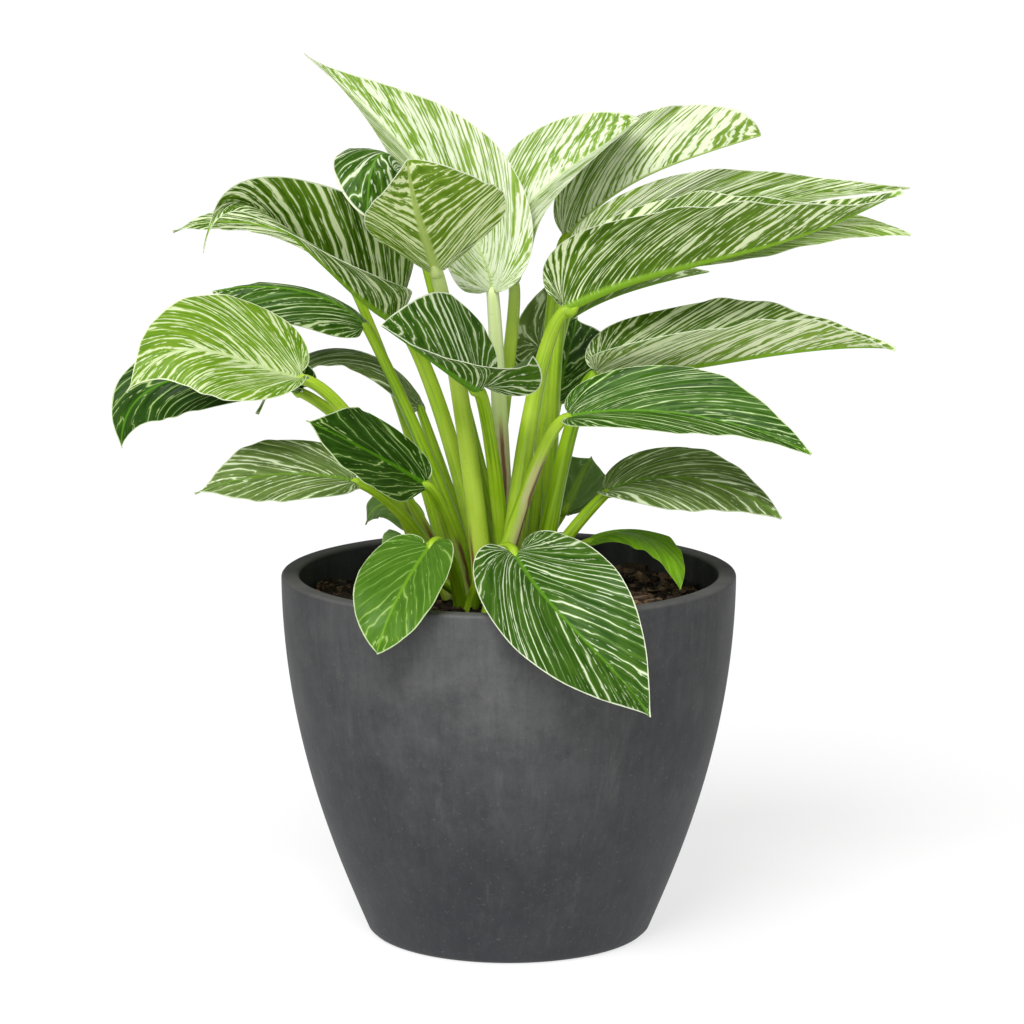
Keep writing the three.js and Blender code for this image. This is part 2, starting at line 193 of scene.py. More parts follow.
leaves = [
    dict(rib=[(-0.01, 0.004, 0.398), (-0.028, 0.01, 0.439), (-0.069, 0.024, 0.488), (-0.125, 0.042, 0.539)],
         width=0.092, face=(0, -0.97, 0.2), fold=(70, 45), tipFold=(0, 85), curl=-12, lobe=(0.002, 0.002),
         widest=0.4, taper=1.6, wave=0.0025, sweep=1.7, foot=(-0.001, 0.01), girth=0.0075, rise=0.024,
         neck=0.03, look="ivory"),
    dict(rib=[(0.003, 0.024, 0.4), (0.009, 0.022, 0.443), (0.04, 0.024, 0.472), (0.08, 0.028, 0.5)],
         width=0.072, face=(0, -0.97, 0.25), fold=(50, -60), tipFold=(85, 0), lobe=(-0.008, 0.006),
         widest=0.5, taper=0.7, sweep=1.7, foot=(-0.019, 0.036), girth=0.0065, rise=0.034, neck=0.017,
         look="ivory"),
    dict(rib=[(-0.043, -0.048, 0.415), (-0.05, -0.074, 0.441), (-0.055, -0.101, 0.464),
              (-0.058, -0.122, 0.487)],
         width=0.104, face=(0, 0.9, 0.4), fold=(10, 0), tipFold=(-60, -10), foldPace=2, curl=8,
         lobe=(-0.012, -0.012), widest=0.5, taper=0.5, skew=0.6, sweep=1.9, foot=(-0.014, -0.026),
         girth=0.0075, rise=0.073, neck=0.024, look="banded"),
    dict(rib=[(-0.056, -0.036, 0.452), (-0.064, -0.04, 0.477), (-0.077, -0.046, 0.483),
              (-0.083, -0.056, 0.448)],
         width=0.072, face=(0, 0.2, 1), tipFace=(0, -0.3, 1), fold=(0, 10), tipFold=(0, -30),
         lobe=(0.002, 0.002), widest=0.5, taper=0.7, foot=(0.003, -0.004), rise=0.041,
         neck=0.017, look="rayed"),
    dict(rib=[(-0.069, 0.002, 0.379), (-0.112, -0.026, 0.418), (-0.154, -0.046, 0.454),
              (-0.181, -0.05, 0.426)],
         width=0.1, face=(0.2, -0.9, 0.35), fold=(30, 125), tipFold=(70, 40), foldPace=0.85, curl=-12,
         lobe=(-0.005, -0.008), widest=0.3, taper=2.3, sweep=1.6, foot=(-0.011, -0.004), girth=0.007,
         rise=0.041, neck=0.026, look="striped"),
    dict(rib=[(-0.111, 0.064, 0.413), (-0.139, 0.062, 0.427), (-0.173, 0.058, 0.434),
              (-0.208, 0.05, 0.429)],
         width=0.026, face=(0, -0.5, 0.87), fold=(15, 15), lobe=(0.006, 0.006), foot=(-0.031, 0.025),
         rise=0.023, neck=0.017, bend=[(-0.066, 0.093, 0.32)], look="striped"),
    dict(rib=[(-0.018, -0.068, 0.346), (-0.037, -0.082, 0.361), (-0.057, -0.095, 0.377),
              (-0.074, -0.106, 0.39)],
         width=0.092, face=(0.55, -0.7, 0.3), fold=(0, 120), tipFold=(5, 60), lobe=(0.014, 0.03),
         widest=0.4, foot=(-0.002, -0.016), girth=0.0055, rise=0.077, neck=0.006, look="rayed"),
    dict(rib=[(-0.125, -0.03, 0.348), (-0.161, -0.04, 0.361), (-0.195, -0.052, 0.368),
              (-0.227, -0.06, 0.344)],
         width=0.076, face=(0, -0.64, 0.77), fold=(35, 60), tipFold=(35, -20), curl=-14,
         lobe=(0.005, 0.005), widest=0.4, taper=1.45, foot=(-0.039, 0.002), girth=0.0065, rise=0.028,
         neck=0.036, look="lime"),
    dict(rib=[(-0.127, -0.002, 0.336), (-0.17, 0, 0.346), (-0.216, -0.002, 0.339), (-0.236, -0.006, 0.302)],
         width=0.06, face=(0, -0.6, 0.8), fold=(10, 65), tipFold=(10, -25), lobe=(0.008, 0.004),
         foot=(-0.031, 0.013), girth=0.0055, rise=0.043, neck=0.047, look="dark"),
    dict(rib=[(-0.055, 0.036, 0.321), (-0.08, 0.042, 0.348), (-0.12, 0.046, 0.353), (-0.157, 0.042, 0.316)],
         width=0.046, face=(0, 0.1, 1), fold=(5, -20), foot=(-0.011, 0.021), girth=0.0055, rise=0.014,
         neck=0.019, look="dusky"),
    dict(rib=[(-0.05, -0.05, 0.287), (-0.072, -0.065, 0.303), (-0.093, -0.085, 0.318),
              (-0.118, -0.098, 0.333)],
         width=0.054, face=(0.3, -0.7, 0.6), fold=(10, 10), lobe=(0.002, -0.004), widest=0.5,
         foot=(-0.025, 0), girth=0.006, rise=0.043, neck=0.013, look="dark"),
    dict(rib=[(-0.088, 0.022, 0.374), (-0.117, 0.026, 0.392), (-0.152, 0.032, 0.397),
              (-0.183, 0.038, 0.393)],
         width=0.056, face=(0, -0.1, 1), fold=(-5, -20), tipFold=(-5, -40), curl=-14, foot=(-0.016, 0.01),
         girth=0.0055, rise=0.045, neck=0.007, look="leafy"),
    dict(rib=[(-0.093, -0.034, 0.286), (-0.124, -0.038, 0.291), (-0.155, -0.044, 0.29),
              (-0.188, -0.052, 0.282)],
         width=0.054, face=(0, -0.57, 0.82), fold=(19, 35), tipFold=(19, 0), curl=-12,
         lobe=(0.005, 0.005), taper=1.5, foot=(-0.033, -0.011), girth=0.0055, rise=0.051, neck=0.02,
         look="dusky"),
    dict(rib=[(-0.06, 0.035, 0.249), (-0.07, 0.042, 0.257), (-0.081, 0.048, 0.257), (-0.09, 0.055, 0.244)],
         width=0.024, face=(0, -0.7, 0.7), fold=(10, 10), foot=(-0.022, 0.019), girth=0.004, rise=0.021,
         neck=0.018, look="plain"),
    dict(rib=[(-0.046, -0.092, 0.257), (-0.057, -0.114, 0.244), (-0.068, -0.134, 0.226),
              (-0.076, -0.142, 0.203)],
         width=0.058, face=(0, -0.7, 0.7), fold=(5, 62), tipFold=(5, 20), curl=-8, lobe=(0.005, 0.001),
         widest=0.4, taper=0.9, foot=(-0.028, -0.022), rise=0.032, neck=0.023, look="fresh"),
    dict(rib=[(-0.053, -0.05, 0.237), (-0.06, -0.06, 0.25), (-0.067, -0.068, 0.256),
              (-0.076, -0.08, 0.249)],
         width=0.022, face=(0, -0.5, 0.85), fold=(10, 10), curl=-8, lobe=(0.003, 0.003),
         foot=(-0.021, -0.011), girth=0.004, rise=0.035, neck=0.019, look="plain"),
    dict(rib=[(0.003, -0.092, 0.253), (0.026, -0.135, 0.229), (0.055, -0.152, 0.201),
              (0.082, -0.152, 0.168)],
         width=0.084, face=(0.1, -0.95, 0.3), fold=(42, 5), tipFold=(32, 10), lobe=(0.002, 0.018),
         widest=0.35, taper=1.25, foot=(-0.025, -0.034), rise=0.041, neck=0.023, look="bold"),
    dict(rib=[(0.036, 0.036, 0.427), (0.067, 0.038, 0.454), (0.103, 0.04, 0.472), (0.155, 0.042, 0.489)],
         width=0.072, face=(0, -0.95, 0.3), fold=(-105, 20), tipFold=(-105, 5), lobe=(0.004, 0),
         widest=0.6, taper=0.42, wave=0.0025, sweep=1.6, foot=(0.016, 0.027), girth=0.006, rise=0.026,
         neck=0.018, look="milky"),
    dict(rib=[(0.041, 0.012, 0.414), (0.086, 0.012, 0.433), (0.147, 0.01, 0.449), (0.243, 0.006, 0.46)],
         width=0.056, face=(0, -0.9, 0.4), fold=(60, 15), tipFold=(60, 45), wave=0.0025, sweep=1.6,
         foot=(0.024, -0.001), girth=0.006, rise=0.029, neck=0.017, look="milky"),
    dict(rib=[(0.035, -0.03, 0.39), (0.095, -0.038, 0.414), (0.158, -0.044, 0.431), (0.233, -0.048, 0.463)],
         width=0.104, face=(0, 0, 1), fold=(85, 55), tipFold=(38, 50), lobe=(0.008, 0.008), widest=0.35,
         wave=0.0025, sweep=1.5, foot=(-0.003, -0.04), girth=0.008, rise=0.016, neck=0.026, look="striped"),
    dict(rib=[(0.05, 0.028, 0.404), (0.111, 0.026, 0.421), (0.178, 0.024, 0.435), (0.2459, 0.02, 0.43)],
         width=0.046, face=(0, -0.57, 0.82), fold=(75, 5), tipFold=(-20, 5), foot=(0.012, 0.003),
         rise=0.028, neck=0.026, look="lime"),
    dict(rib=[(0.023, 0.062, 0.354), (0.045, 0.068, 0.376), (0.082, 0.074, 0.391), (0.126, 0.08, 0.401)],
         width=0.056, face=(0, -0.9, 0.4), fold=(-105, 3), lobe=(0.008, 0.016), foot=(-0.006, 0.033),
         rise=0.032, neck=0.018, look="dusky"),
    dict(rib=[(0.053, -0.012, 0.348), (0.11, -0.018, 0.354), (0.172, -0.024, 0.364),
              (0.233, -0.026, 0.366)],
         width=0.084, face=(0, 0, 1), fold=(45, 75), tipFold=(45, 50), curl=-12, lobe=(0.006, 0.01),
         widest=0.4, wave=0.0022, sweep=1.5, foot=(0.015, -0.013), girth=0.008, rise=0.036, neck=0.012,
         look="striped"),
    dict(rib=[(0.03, 0.066, 0.32), (0.034, 0.078, 0.336), (0.039, 0.1, 0.351), (0.044, 0.128, 0.366)],
         width=0.074, face=(0, -0.8, 0.6), fold=(15, 15), lobe=(-0.004, -0.004), foot=(0.002, 0.024),
         rise=0.035, neck=0.016, look="leafy"),
    dict(rib=[(0.036, -0.045, 0.327), (0.078, -0.055, 0.332), (0.128, -0.066, 0.327),
              (0.179, -0.078, 0.31)],
         width=0.06, face=(0, -0.57, 0.82), fold=(30, 30), tipFold=(30, 30), curl=-12, widest=0.5,
         foot=(-0.015, -0.053), girth=0.0072, rise=0.016, neck=0.02, look="leafy"),
    dict(rib=[(0.06, -0.02, 0.277), (0.088, -0.028, 0.287), (0.126, -0.038, 0.285), (0.164, -0.048, 0.266)],
         width=0.054, face=(0, -0.54, 0.84), fold=(58, 6), tipFold=(-20, 6), foot=(0.005, -0.027),
         girth=0.0055, rise=0.039, neck=0.006, look="dusky"),
    dict(rib=[(0.034, 0.08, 0.247), (0.041, 0.078, 0.261), (0.046, 0.074, 0.273), (0.052, 0.068, 0.285)],
         width=0.048, face=(0, 0.95, 0.3), fold=(8, 8), curl=8, lobe=(-0.006, -0.006), widest=0.5,
         foot=(0.005, 0.034), girth=0.0045, rise=0.04, neck=0.022, look="plain"),
    dict(rib=[(0.051, 0.015, 0.241), (0.075, 0.005, 0.247), (0.095, -0.018, 0.24), (0.104, -0.036, 0.22)],
         width=0.03, face=(0, -0.2, 1), fold=(8, -5), foot=(0.012, 0.015), girth=0.0045, rise=0.053,
         neck=0.011, look="grassy"),
]

for leafNumber, leafRow in enumerate(leaves, 1):
    for field, value in usual.items():
        leafRow.setdefault(field, value)
    leafRow.setdefault("tipFace", leafRow["face"])
    leafRow.setdefault("tipFold", leafRow["fold"])
    for field in ("rib", "face", "tipFace"):
        leafRow[field] = np.array(leafRow[field], float)
    leafRow["number"] = leafNumber


# on the cubic that passes through the four points at 0, 1/3, 2/3 and 1
def ribPoint(points, t):
    weights = np.stack([
        -4.5 * (t - 1 / 3) * (t - 2 / 3) * (t - 1),
        13.5 * t * (t - 2 / 3) * (t - 1),
        -13.5 * t * (t - 1 / 3) * (t - 1),
        4.5 * t * (t - 1 / 3) * (t - 2 / 3),
    ], axis=-1)
    return weights @ points


def ribDirection(points, t):
    return unit(ribPoint(points, t + 0.001) - ribPoint(points, t - 0.001))


def ribLength(points):
    return np.linalg.norm(np.diff(points, axis=0), axis=1).sum()


def bezierPoint(handles, t):
    row = [np.ones(t.shape + (1,)) * np.array(handle, float) for handle in handles]
    while len(row) > 1:
        row = [a + (b - a) * t[..., None] for a, b in zip(row, row[1:])]
    return row[0]


def halfWidth(leaf, side):
    return leaf["width"] / 2 * (leaf["skew"] if side > 0 else 1)


ribMake = dict(
    tipRadius=0.002,  # of the stalk, where it meets the blade
    radiusPerWidth=0.02,
    shoulder=0.0013,  # the rib is wider than the end of the stalk by this much on each side
)
outlineMake = dict(
    lobeShare=0.3,  # of the side veins, those that end on the lobe
    fanShare=0.26,  # of the side veins, those that start together at the base
    lobeLean=1.5,  # how far the lobe's handles reach back, as shares of its reach
    lobeRound=1.2,
    notchRise=0.1,
)


def stemTipRadius(leaf):
    return ribMake["tipRadius"] + ribMake["radiusPerWidth"] * leaf["width"]


def ribEdge(leaf):
    return stemTipRadius(leaf) + ribMake["shoulder"]


# where the side vein t ends: along as a share of the rib, and across as a share of the half width
def marginPoint(leaf, t, side):
    make = outlineMake
    lobe = leaf["lobe"][0 if side > 0 else 1] / ribLength(leaf["rib"])
    notch = ribEdge(leaf) / halfWidth(leaf, side)
    handles = [(0, notch), (-make["lobeLean"] * lobe, notch + make["notchRise"]),
               (-make["lobeRound"] * lobe, 1), (leaf["widest"], 1)]
    onLobe = bezierPoint(handles, np.minimum(t / make["lobeShare"], 1))
    s = np.maximum(t - make["lobeShare"], 0) / (1 - make["lobeShare"])
    onSide = np.stack([leaf["widest"] + (1 - leaf["widest"]) * s, (1 - s ** 2) ** leaf["taper"]], axis=-1)
    return np.where((t < make["lobeShare"])[..., None], onLobe, onSide)


# where the side vein t leaves the rib
def veinStart(leaf, t):
    return (np.maximum(t - outlineMake["fanShare"], 0) / (1 - outlineMake["fanShare"])) ** leaf["sweep"]


# each half is lifted by its fold and bends on as it goes outwards
def bladePoint(leaf, along, across, side, lift):
    onRib = np.maximum(along, 0)
    direction = ribDirection(leaf["rib"], onRib)
    face = leaf["face"] + (leaf["tipFace"] - leaf["face"]) * onRib[..., None]
    normal = unit(face - direction * (face * direction).sum(-1, keepdims=True))
    sideways = np.cross(direction, normal) * side

    half = 0 if side > 0 else 1
    pace = onRib ** leaf["foldPace"]
    fold = np.radians(leaf["fold"][half] + (leaf["tipFold"][half] - leaf["fold"][half]) * pace)
    bending = math.radians(leaf["curl"]) / halfWidth(leaf, side)
    angle = fold + bending * across
    point = ribPoint(leaf["rib"], onRib)
    point = point + direction * (np.minimum(along, 0) * ribLength(leaf["rib"]))[..., None]
    point = point + sideways * ((np.sin(angle) - np.sin(fold)) / bending)[..., None]
    return point + normal * ((np.cos(fold) - np.cos(angle)) / bending + lift)[..., None]


bladeMake = dict(
    thickness=0.0008,  # at the rib; the margin is thinner
    marginThinning=0.62,
    keelDepth=0.0021,  # the rib stands out below
    grooveDepth=0.0005,  # and lies in a groove above
    grooveSharpness=3,
    keelTaper=0.8,
    fullKeelWidth=0.08,  # narrower blades have a lower keel
    rowsPerMetre=420,
    rowsAtLeast=54,
    rowCrowding=1.35,  # above 1 the rows lie closer at the tip
    veinColumns=13,
    columnCrowding=0.9,  # below 1 the columns lie closer at the margin
    veinBow=1.12,
    ribColumns=3,
    ribReach=0.1,  # reach runs from minus this at the middle of the rib to 0 at its edge
    pucker=0.00035,  # the blade arches a little between its side veins
    puckersPerMetre=85,
    waveTurn=9,  # radians of the margin's waves from the base to the tip
    ruffle=0.0007,  # fine waves of the margin
    ruffleTurn=31,
    sharpAngle=75,
)


# a grid of one half of the blade: rows are side veins, columns run from the rib to the margin
def bladeGrid(leaf, side):
    make = bladeMake
    length = ribLength(leaf["rib"])
    rows = int(make["rowsAtLeast"] + make["rowsPerMetre"] * length)
    t = 1 - (1 - np.linspace(0, 1, rows + 1)) ** make["rowCrowding"]
    share = np.linspace(0, 1, make["ribColumns"] + 1)[:-1]
    u = np.linspace(0, 1, make["veinColumns"] + 1) ** make["columnCrowding"]
    margin = marginPoint(leaf, t, side)
    start = veinStart(leaf, t)
    edge = ribEdge(leaf) * (1 - t)

    alongRib = np.repeat(start[:, None], len(share), axis=1)
    acrossRib = edge[:, None] * share
    alongVein = start[:, None] + (margin[:, 0] - start)[:, None] * u ** make["veinBow"]
    acrossVein = edge[:, None] + (margin[:, 1] * halfWidth(leaf, side) - edge)[:, None] * u
    along = np.concatenate([alongRib, alongVein], axis=1)
    across = np.concatenate([acrossRib, acrossVein], axis=1)
    reach = np.concatenate([(share - 1) * make["ribReach"], u])
    reach = np.repeat(reach[None], len(t), axis=0)

    outwards = np.maximum(reach, 0)
    vein = np.repeat(t[:, None], reach.shape[1], axis=1)
    lift = leaf["wave"] * outwards ** 2 * np.sin(make["waveTurn"] * vein + 2 * side)
    ruffle = make["ruffle"] * leaf["wave"] / usual["wave"] * outwards ** 4 * np.sin(math.pi * vein)
    lift += ruffle * np.sin(make["ruffleTurn"] * vein + leaf["number"] + side)
    puckers = round(make["puckersPerMetre"] * length)
    lift += make["pucker"] * np.sin(math.pi * outwards) * np.sin(2 * math.pi * puckers * vein)
    points = bladePoint(leaf, along, across, side, lift)

    veinLength = np.hypot((margin[:, 0] - start) * length, margin[:, 1] * halfWidth(leaf, side) - edge)
    fromEdge = np.where(reach < 0, 1, 1 - outwards) * veinLength[:, None]
    return {"points": points, "vein": vein, "reach": reach, "edge": fromEdge, "rib": across,
            "along": np.maximum(along, 0), "ribRow": start, "ribEdge": edge}


# both halves as one sheet, which shares its points along the rib
def bladeSheet(leaf):
    points, faces = [], []
    kept = ("vein", "reach", "edge", "rib", "along")
    values = {key: [] for key in kept + ("half", "keel")}

    def place(grid, i, j, half):
        points.append(grid["points"][i, j])
        for key in kept:
            values[key].append(grid[key][i, j])
        ribShare = grid["rib"][i, j] / max(grid["ribEdge"][i], 1e-6)
        values["keel"].append(max(0.0, 1 - ribShare ** 2) * (1 - grid["ribRow"][i]) ** bladeMake["keelTaper"])
        values["half"].append(half)
        return len(points) - 1

    middle = []
    for side in (1, -1):
        grid = bladeGrid(leaf, side)
        last = len(grid["ribRow"]) - 1
        columns = grid["points"].shape[1]
        if side > 0:
            for i in range(last + 1):
                fresh = i == 0 or grid["ribRow"][i] > 0
                middle.append(place(grid, i, 0, 0) if fresh else middle[0])
        rows = []
        for i in range(last + 1):
            if i == last:
                rows.append([middle[i]] * columns)
                continue
            row = [middle[i]] + [place(grid, i, j, side) for j in range(1, bladeMake["ribColumns"] + 1)]
            if i == 0:
                row += [row[-1]] * (columns - len(row))
            else:
                row += [place(grid, i, j, side) for j in range(len(row), columns)]
            rows.append(row)
        for low, high in zip(rows, rows[1:]):
            for j in range(columns - 1):
                face = [low[j], low[j + 1], high[j + 1], high[j]]
                face = [v for k, v in enumerate(face) if v != face[k - 1]]
                if len(set(face)) > 2:
                    faces.append(face if side > 0 else face[::-1])
    return np.array(points), faces, {key: np.array(value) for key, value in values.items()}


def sheetNormals(points, faces):
    normals = np.zeros_like(points)
    for face in faces:
        a, b, c = points[face[0]], points[face[1]], points[face[-1]]
        normal = np.cross(b - a, c - a)
        for v in face:
            normals[v] += normal
    return unit(normals)


def buildBlade(leaf, material):
    make = bladeMake
    points, faces, values = bladeSheet(leaf)
    normals = sheetNormals(points, faces)
    outwards = np.maximum(values["reach"], 0)
    half = make["thickness"] / 2 * (1 - make["marginThinning"] * outwards ** 2)
    size = min(1, leaf["width"] / make["fullKeelWidth"])
    above = half - make["grooveDepth"] * values["keel"] ** make["grooveSharpness"] * size
    below = half + make["keelDepth"] * values["keel"] * size
    count = len(points)
    solid = np.concatenate([points + normals * above[:, None], points - normals * below[:, None]])
    edges = {}  # those that only one face has, in order
    for face in faces:
        for a, b in zip(face, face[1:] + face[:1]):
            if edges.pop((b, a), None) is None:
                edges[(a, b)] = True
    shell = [list(face) for face in faces] + [[v + count for v in reversed(face)] for face in faces]
    shell += [[b, a, a + count, b + count] for a, b in edges]
    attributes = {key: np.concatenate([values[key]] * 2) for key in values if key != "keel"}
    attributes["under"] = np.concatenate([np.zeros(count), np.ones(count)])
    name = f"{leaf['number']:02d}"
    return addPiece("blade_" + name, solid, shell, material, "leaf_" + name, attributes,
                    make["sharpAngle"])


# Markings. Pale lines run along the side veins: lines is how many to a metre of rib, width the share of
# the space that a line takes, vary how much that differs from line to line and breaks how much along
# it, at so many breaks to a half. Dashes are short lines between them, as wide as dashes says. Centre
# widens the lines near the rib, or thins them if it is below 0; fade thins them towards the tip.
# Flecks are short green lines inside the pale ones.
usualLook = dict(rate=2.0, centre=-0.04, fade=0.0)
looks = {
    "ivory": dict(
        deep=(0.12, 0.24, 0.016), mid=(0.3, 0.46, 0.07), pale=(0.8, 0.86, 0.66), rib=(0.6, 0.72, 0.36),
        rim=(0.72, 0.79, 0.56), lines=240, width=0.4, vary=0.7, breaks=1.5, rate=4.5, dashes=0.14,
        centre=0.35, fade=0.05, flecks=0.34),
    "milky": dict(
        deep=(0.075, 0.17, 0.008), mid=(0.24, 0.38, 0.045), pale=(0.8, 0.87, 0.61),
        rib=(0.42, 0.57, 0.15), rim=(0.72, 0.79, 0.56), lines=245, width=0.36, vary=0.8, breaks=1.0,
        rate=3.0, dashes=0.1, centre=0.1, flecks=0.24),
    "striped": dict(
        deep=(0.023, 0.066, 0.002), mid=(0.128, 0.255, 0.012), pale=(0.77, 0.85, 0.53),
        rib=(0.2, 0.38, 0.02), rim=(0.68, 0.76, 0.52), lines=205, width=0.25, vary=0.6, breaks=0.75,
        rate=2.6, dashes=0.04, centre=-0.05, flecks=0.08),
    "banded": dict(
        deep=(0.085, 0.18, 0.006), mid=(0.21, 0.35, 0.028), pale=(0.76, 0.85, 0.45),
        rib=(0.44, 0.58, 0.14), rim=(0.74, 0.8, 0.58), lines=255, width=0.28, vary=0.6, breaks=0.7,
        rate=2.6, dashes=0.04, centre=0.05, flecks=0.1),
    "bold": dict(
        deep=(0.022, 0.072, 0.005), mid=(0.075, 0.17, 0.016), pale=(0.68, 0.77, 0.52),
        rib=(0.1, 0.26, 0.012), rim=(0.74, 0.8, 0.58), lines=195, width=0.15, vary=0.22, breaks=0.2,
        rate=1.6, dashes=-0.08, fade=0.15, flecks=-0.1),
    "rayed": dict(
        deep=(0.022, 0.072, 0.004), mid=(0.085, 0.19, 0.014), pale=(0.68, 0.77, 0.52),
        rib=(0.1, 0.26, 0.012), rim=(0.74, 0.8, 0.58), lines=255, width=0.19, vary=0.25, breaks=0.2,
        rate=1.6, dashes=-0.08, fade=0.02, flecks=-0.1),
    "lime": dict(
        deep=(0.095, 0.215, 0.006), mid=(0.21, 0.36, 0.025), pale=(0.68, 0.77, 0.45),
        rib=(0.58, 0.7, 0.34), rim=(0.74, 0.81, 0.54), lines=230, width=0.11, vary=0.3, breaks=0.5,
        rate=3.0, dashes=0.1, centre=0.34, flecks=0.12),
    "leafy": dict(
        deep=(0.017, 0.06, 0.002), mid=(0.075, 0.19, 0.012), pale=(0.62, 0.74, 0.4),
        rib=(0.12, 0.3, 0.012), rim=(0.58, 0.69, 0.38), lines=190, width=0.1, vary=0.25, breaks=0.3,
        dashes=-0.09, fade=0.03, flecks=-0.2),
    "dark": dict(
        deep=(0.012, 0.042, 0.002), mid=(0.032, 0.095, 0.006), pale=(0.38, 0.52, 0.18),
        rib=(0.07, 0.21, 0.005), rim=(0.54, 0.64, 0.36), lines=105, width=0.055, vary=0.12, breaks=0.14,
        rate=1.6, dashes=-0.14, centre=-0.03, fade=0.02, flecks=-0.3),
    "dusky": dict(
        deep=(0.082, 0.14, 0.028), mid=(0.18, 0.27, 0.062), pale=(0.7, 0.79, 0.53),
        rib=(0.14, 0.27, 0.025), rim=(0.54, 0.63, 0.38), lines=180, width=0.13, vary=0.3, breaks=0.35,
        dashes=-0.09, flecks=-0.1),
    "fresh": dict(
        deep=(0.055, 0.145, 0.01), mid=(0.095, 0.22, 0.018), pale=(0.3, 0.45, 0.12),
        rib=(0.16, 0.34, 0.02), rim=(0.5, 0.62, 0.32), lines=190, width=0.03, vary=0.14, breaks=0.3,
        rate=2.2, dashes=-0.2, centre=0.0, flecks=-0.3),
    "plain": dict(
        deep=(0.135, 0.25, 0.06), mid=(0.19, 0.325, 0.085), pale=(0.22, 0.36, 0.11),
        rib=(0.26, 0.45, 0.06), rim=(0.24, 0.38, 0.11), lines=150, width=0.0, vary=0.1, breaks=0.15,
        dashes=-0.42, centre=0.0, flecks=-0.5),
    "grassy": dict(
        deep=(0.13, 0.31, 0.006), mid=(0.2, 0.41, 0.014), pale=(0.2, 0.38, 0.04), rib=(0.2, 0.4, 0.02),
        rim=(0.24, 0.42, 0.05), lines=150, width=0.0, vary=0.1, breaks=0.15, dashes=-0.42, centre=0.0,
        flecks=-0.5),
}
# how milky a leaf is on its right and left half, each from the base to the tip of the blade
milkiness = {
    1: ((0.7, 0.0), (0.7, 0.0)), 2: ((0.2, 0.15), (0.2, 0.15)), 8: ((0.0, 0.15), (0.0, 0.2)),
    18: ((0.0, 0.2), (0.1, 0.4)), 19: ((0.0, 0.1), (0.4, 0.2)), 20: ((0.0, 0.5), (0.0, 0.1)),
    21: ((0.2, 0.4), (0.2, 0.4)), 23: ((0.85, 1.1), (0.0, 0.4)),
}
# Shares are how much of a colour is mixed in, edges are where it starts and where it is full, and rates
# how fast a pattern changes.
bladeFinishMake = dict(
    roughness=0.36,
    underRoughness=0.52,
    roughnessSpread=0.16,
    specular=0.11,
    seedStep=7.3,  # each leaf has its own pattern
    fan=0.72,  # below 1 the lines are closer at the base than at the tip
    lineSoftness=0.05,  # of the edges of a line, as a share of the space between lines
    sway=1.7,  # of the lines, in spaces
    swayRates=(0.35, 1.6),  # across the lines and along them
    halfSteps=(3.1, 0.37, 5.0),  # the left half has another sway, other places and other breaks
    breakStep=9.7,  # and each line has its own breaks
    breakRoughness=0.6,
    milkyGreen=(0.27, 0.43, 0.05),
    milkShare=0.8,
    milkWidening=0.22,
    centreReach=0.42,
    cloudRates=(9, 3),  # lighter clouds in the green
    cloudEdges=(0.3, 0.75),
    cloudShare=0.6,
    fringe=0.30,  # lighter green on both sides of a line
    fringeSoftness=0.1,
    fringeShare=0.8,
    dashesPerLine=2.0,
    dashes=dict(vary=0.4, breaks=0.9, rate=7.0),
    dashSeed=2.2,
    dashWidening=0.6,
    dashSoftness=0.08,
    dashShare=0.85,
    fleckShare=0.75,
    finePerLine=2.7,  # faint lines between the pale ones
    fineLines=dict(width=0.18, vary=0.4, breaks=0.5, rate=2.0),
    fineSeed=4.4,
    fineSoftness=0.12,
    fineShare=0.45,
    rimWidth=0.0007,
    rimSoftness=0.0003,
    rimRates=(0.5, 2.0),
    rimSeed=3,
    ribWidth=0.0022,
    ribEdges=(0.45, 1.15),
    ribTaper=0.75,
    ribShare=0.9,
    underRibWidth=0.0042,
    underRibEdges=(0.5, 1.1),
    underPale=(0.80, 0.88, 0.52),
    underPaleShare=0.35,
    underShare=0.08,  # the underside is paler
    sideVeinsPerMetre=190,
    veinBump=(0.00016, 0.6),  # depth and strength
    grainRate=1400,
    grainBump=(0.00005, 0.5),
)


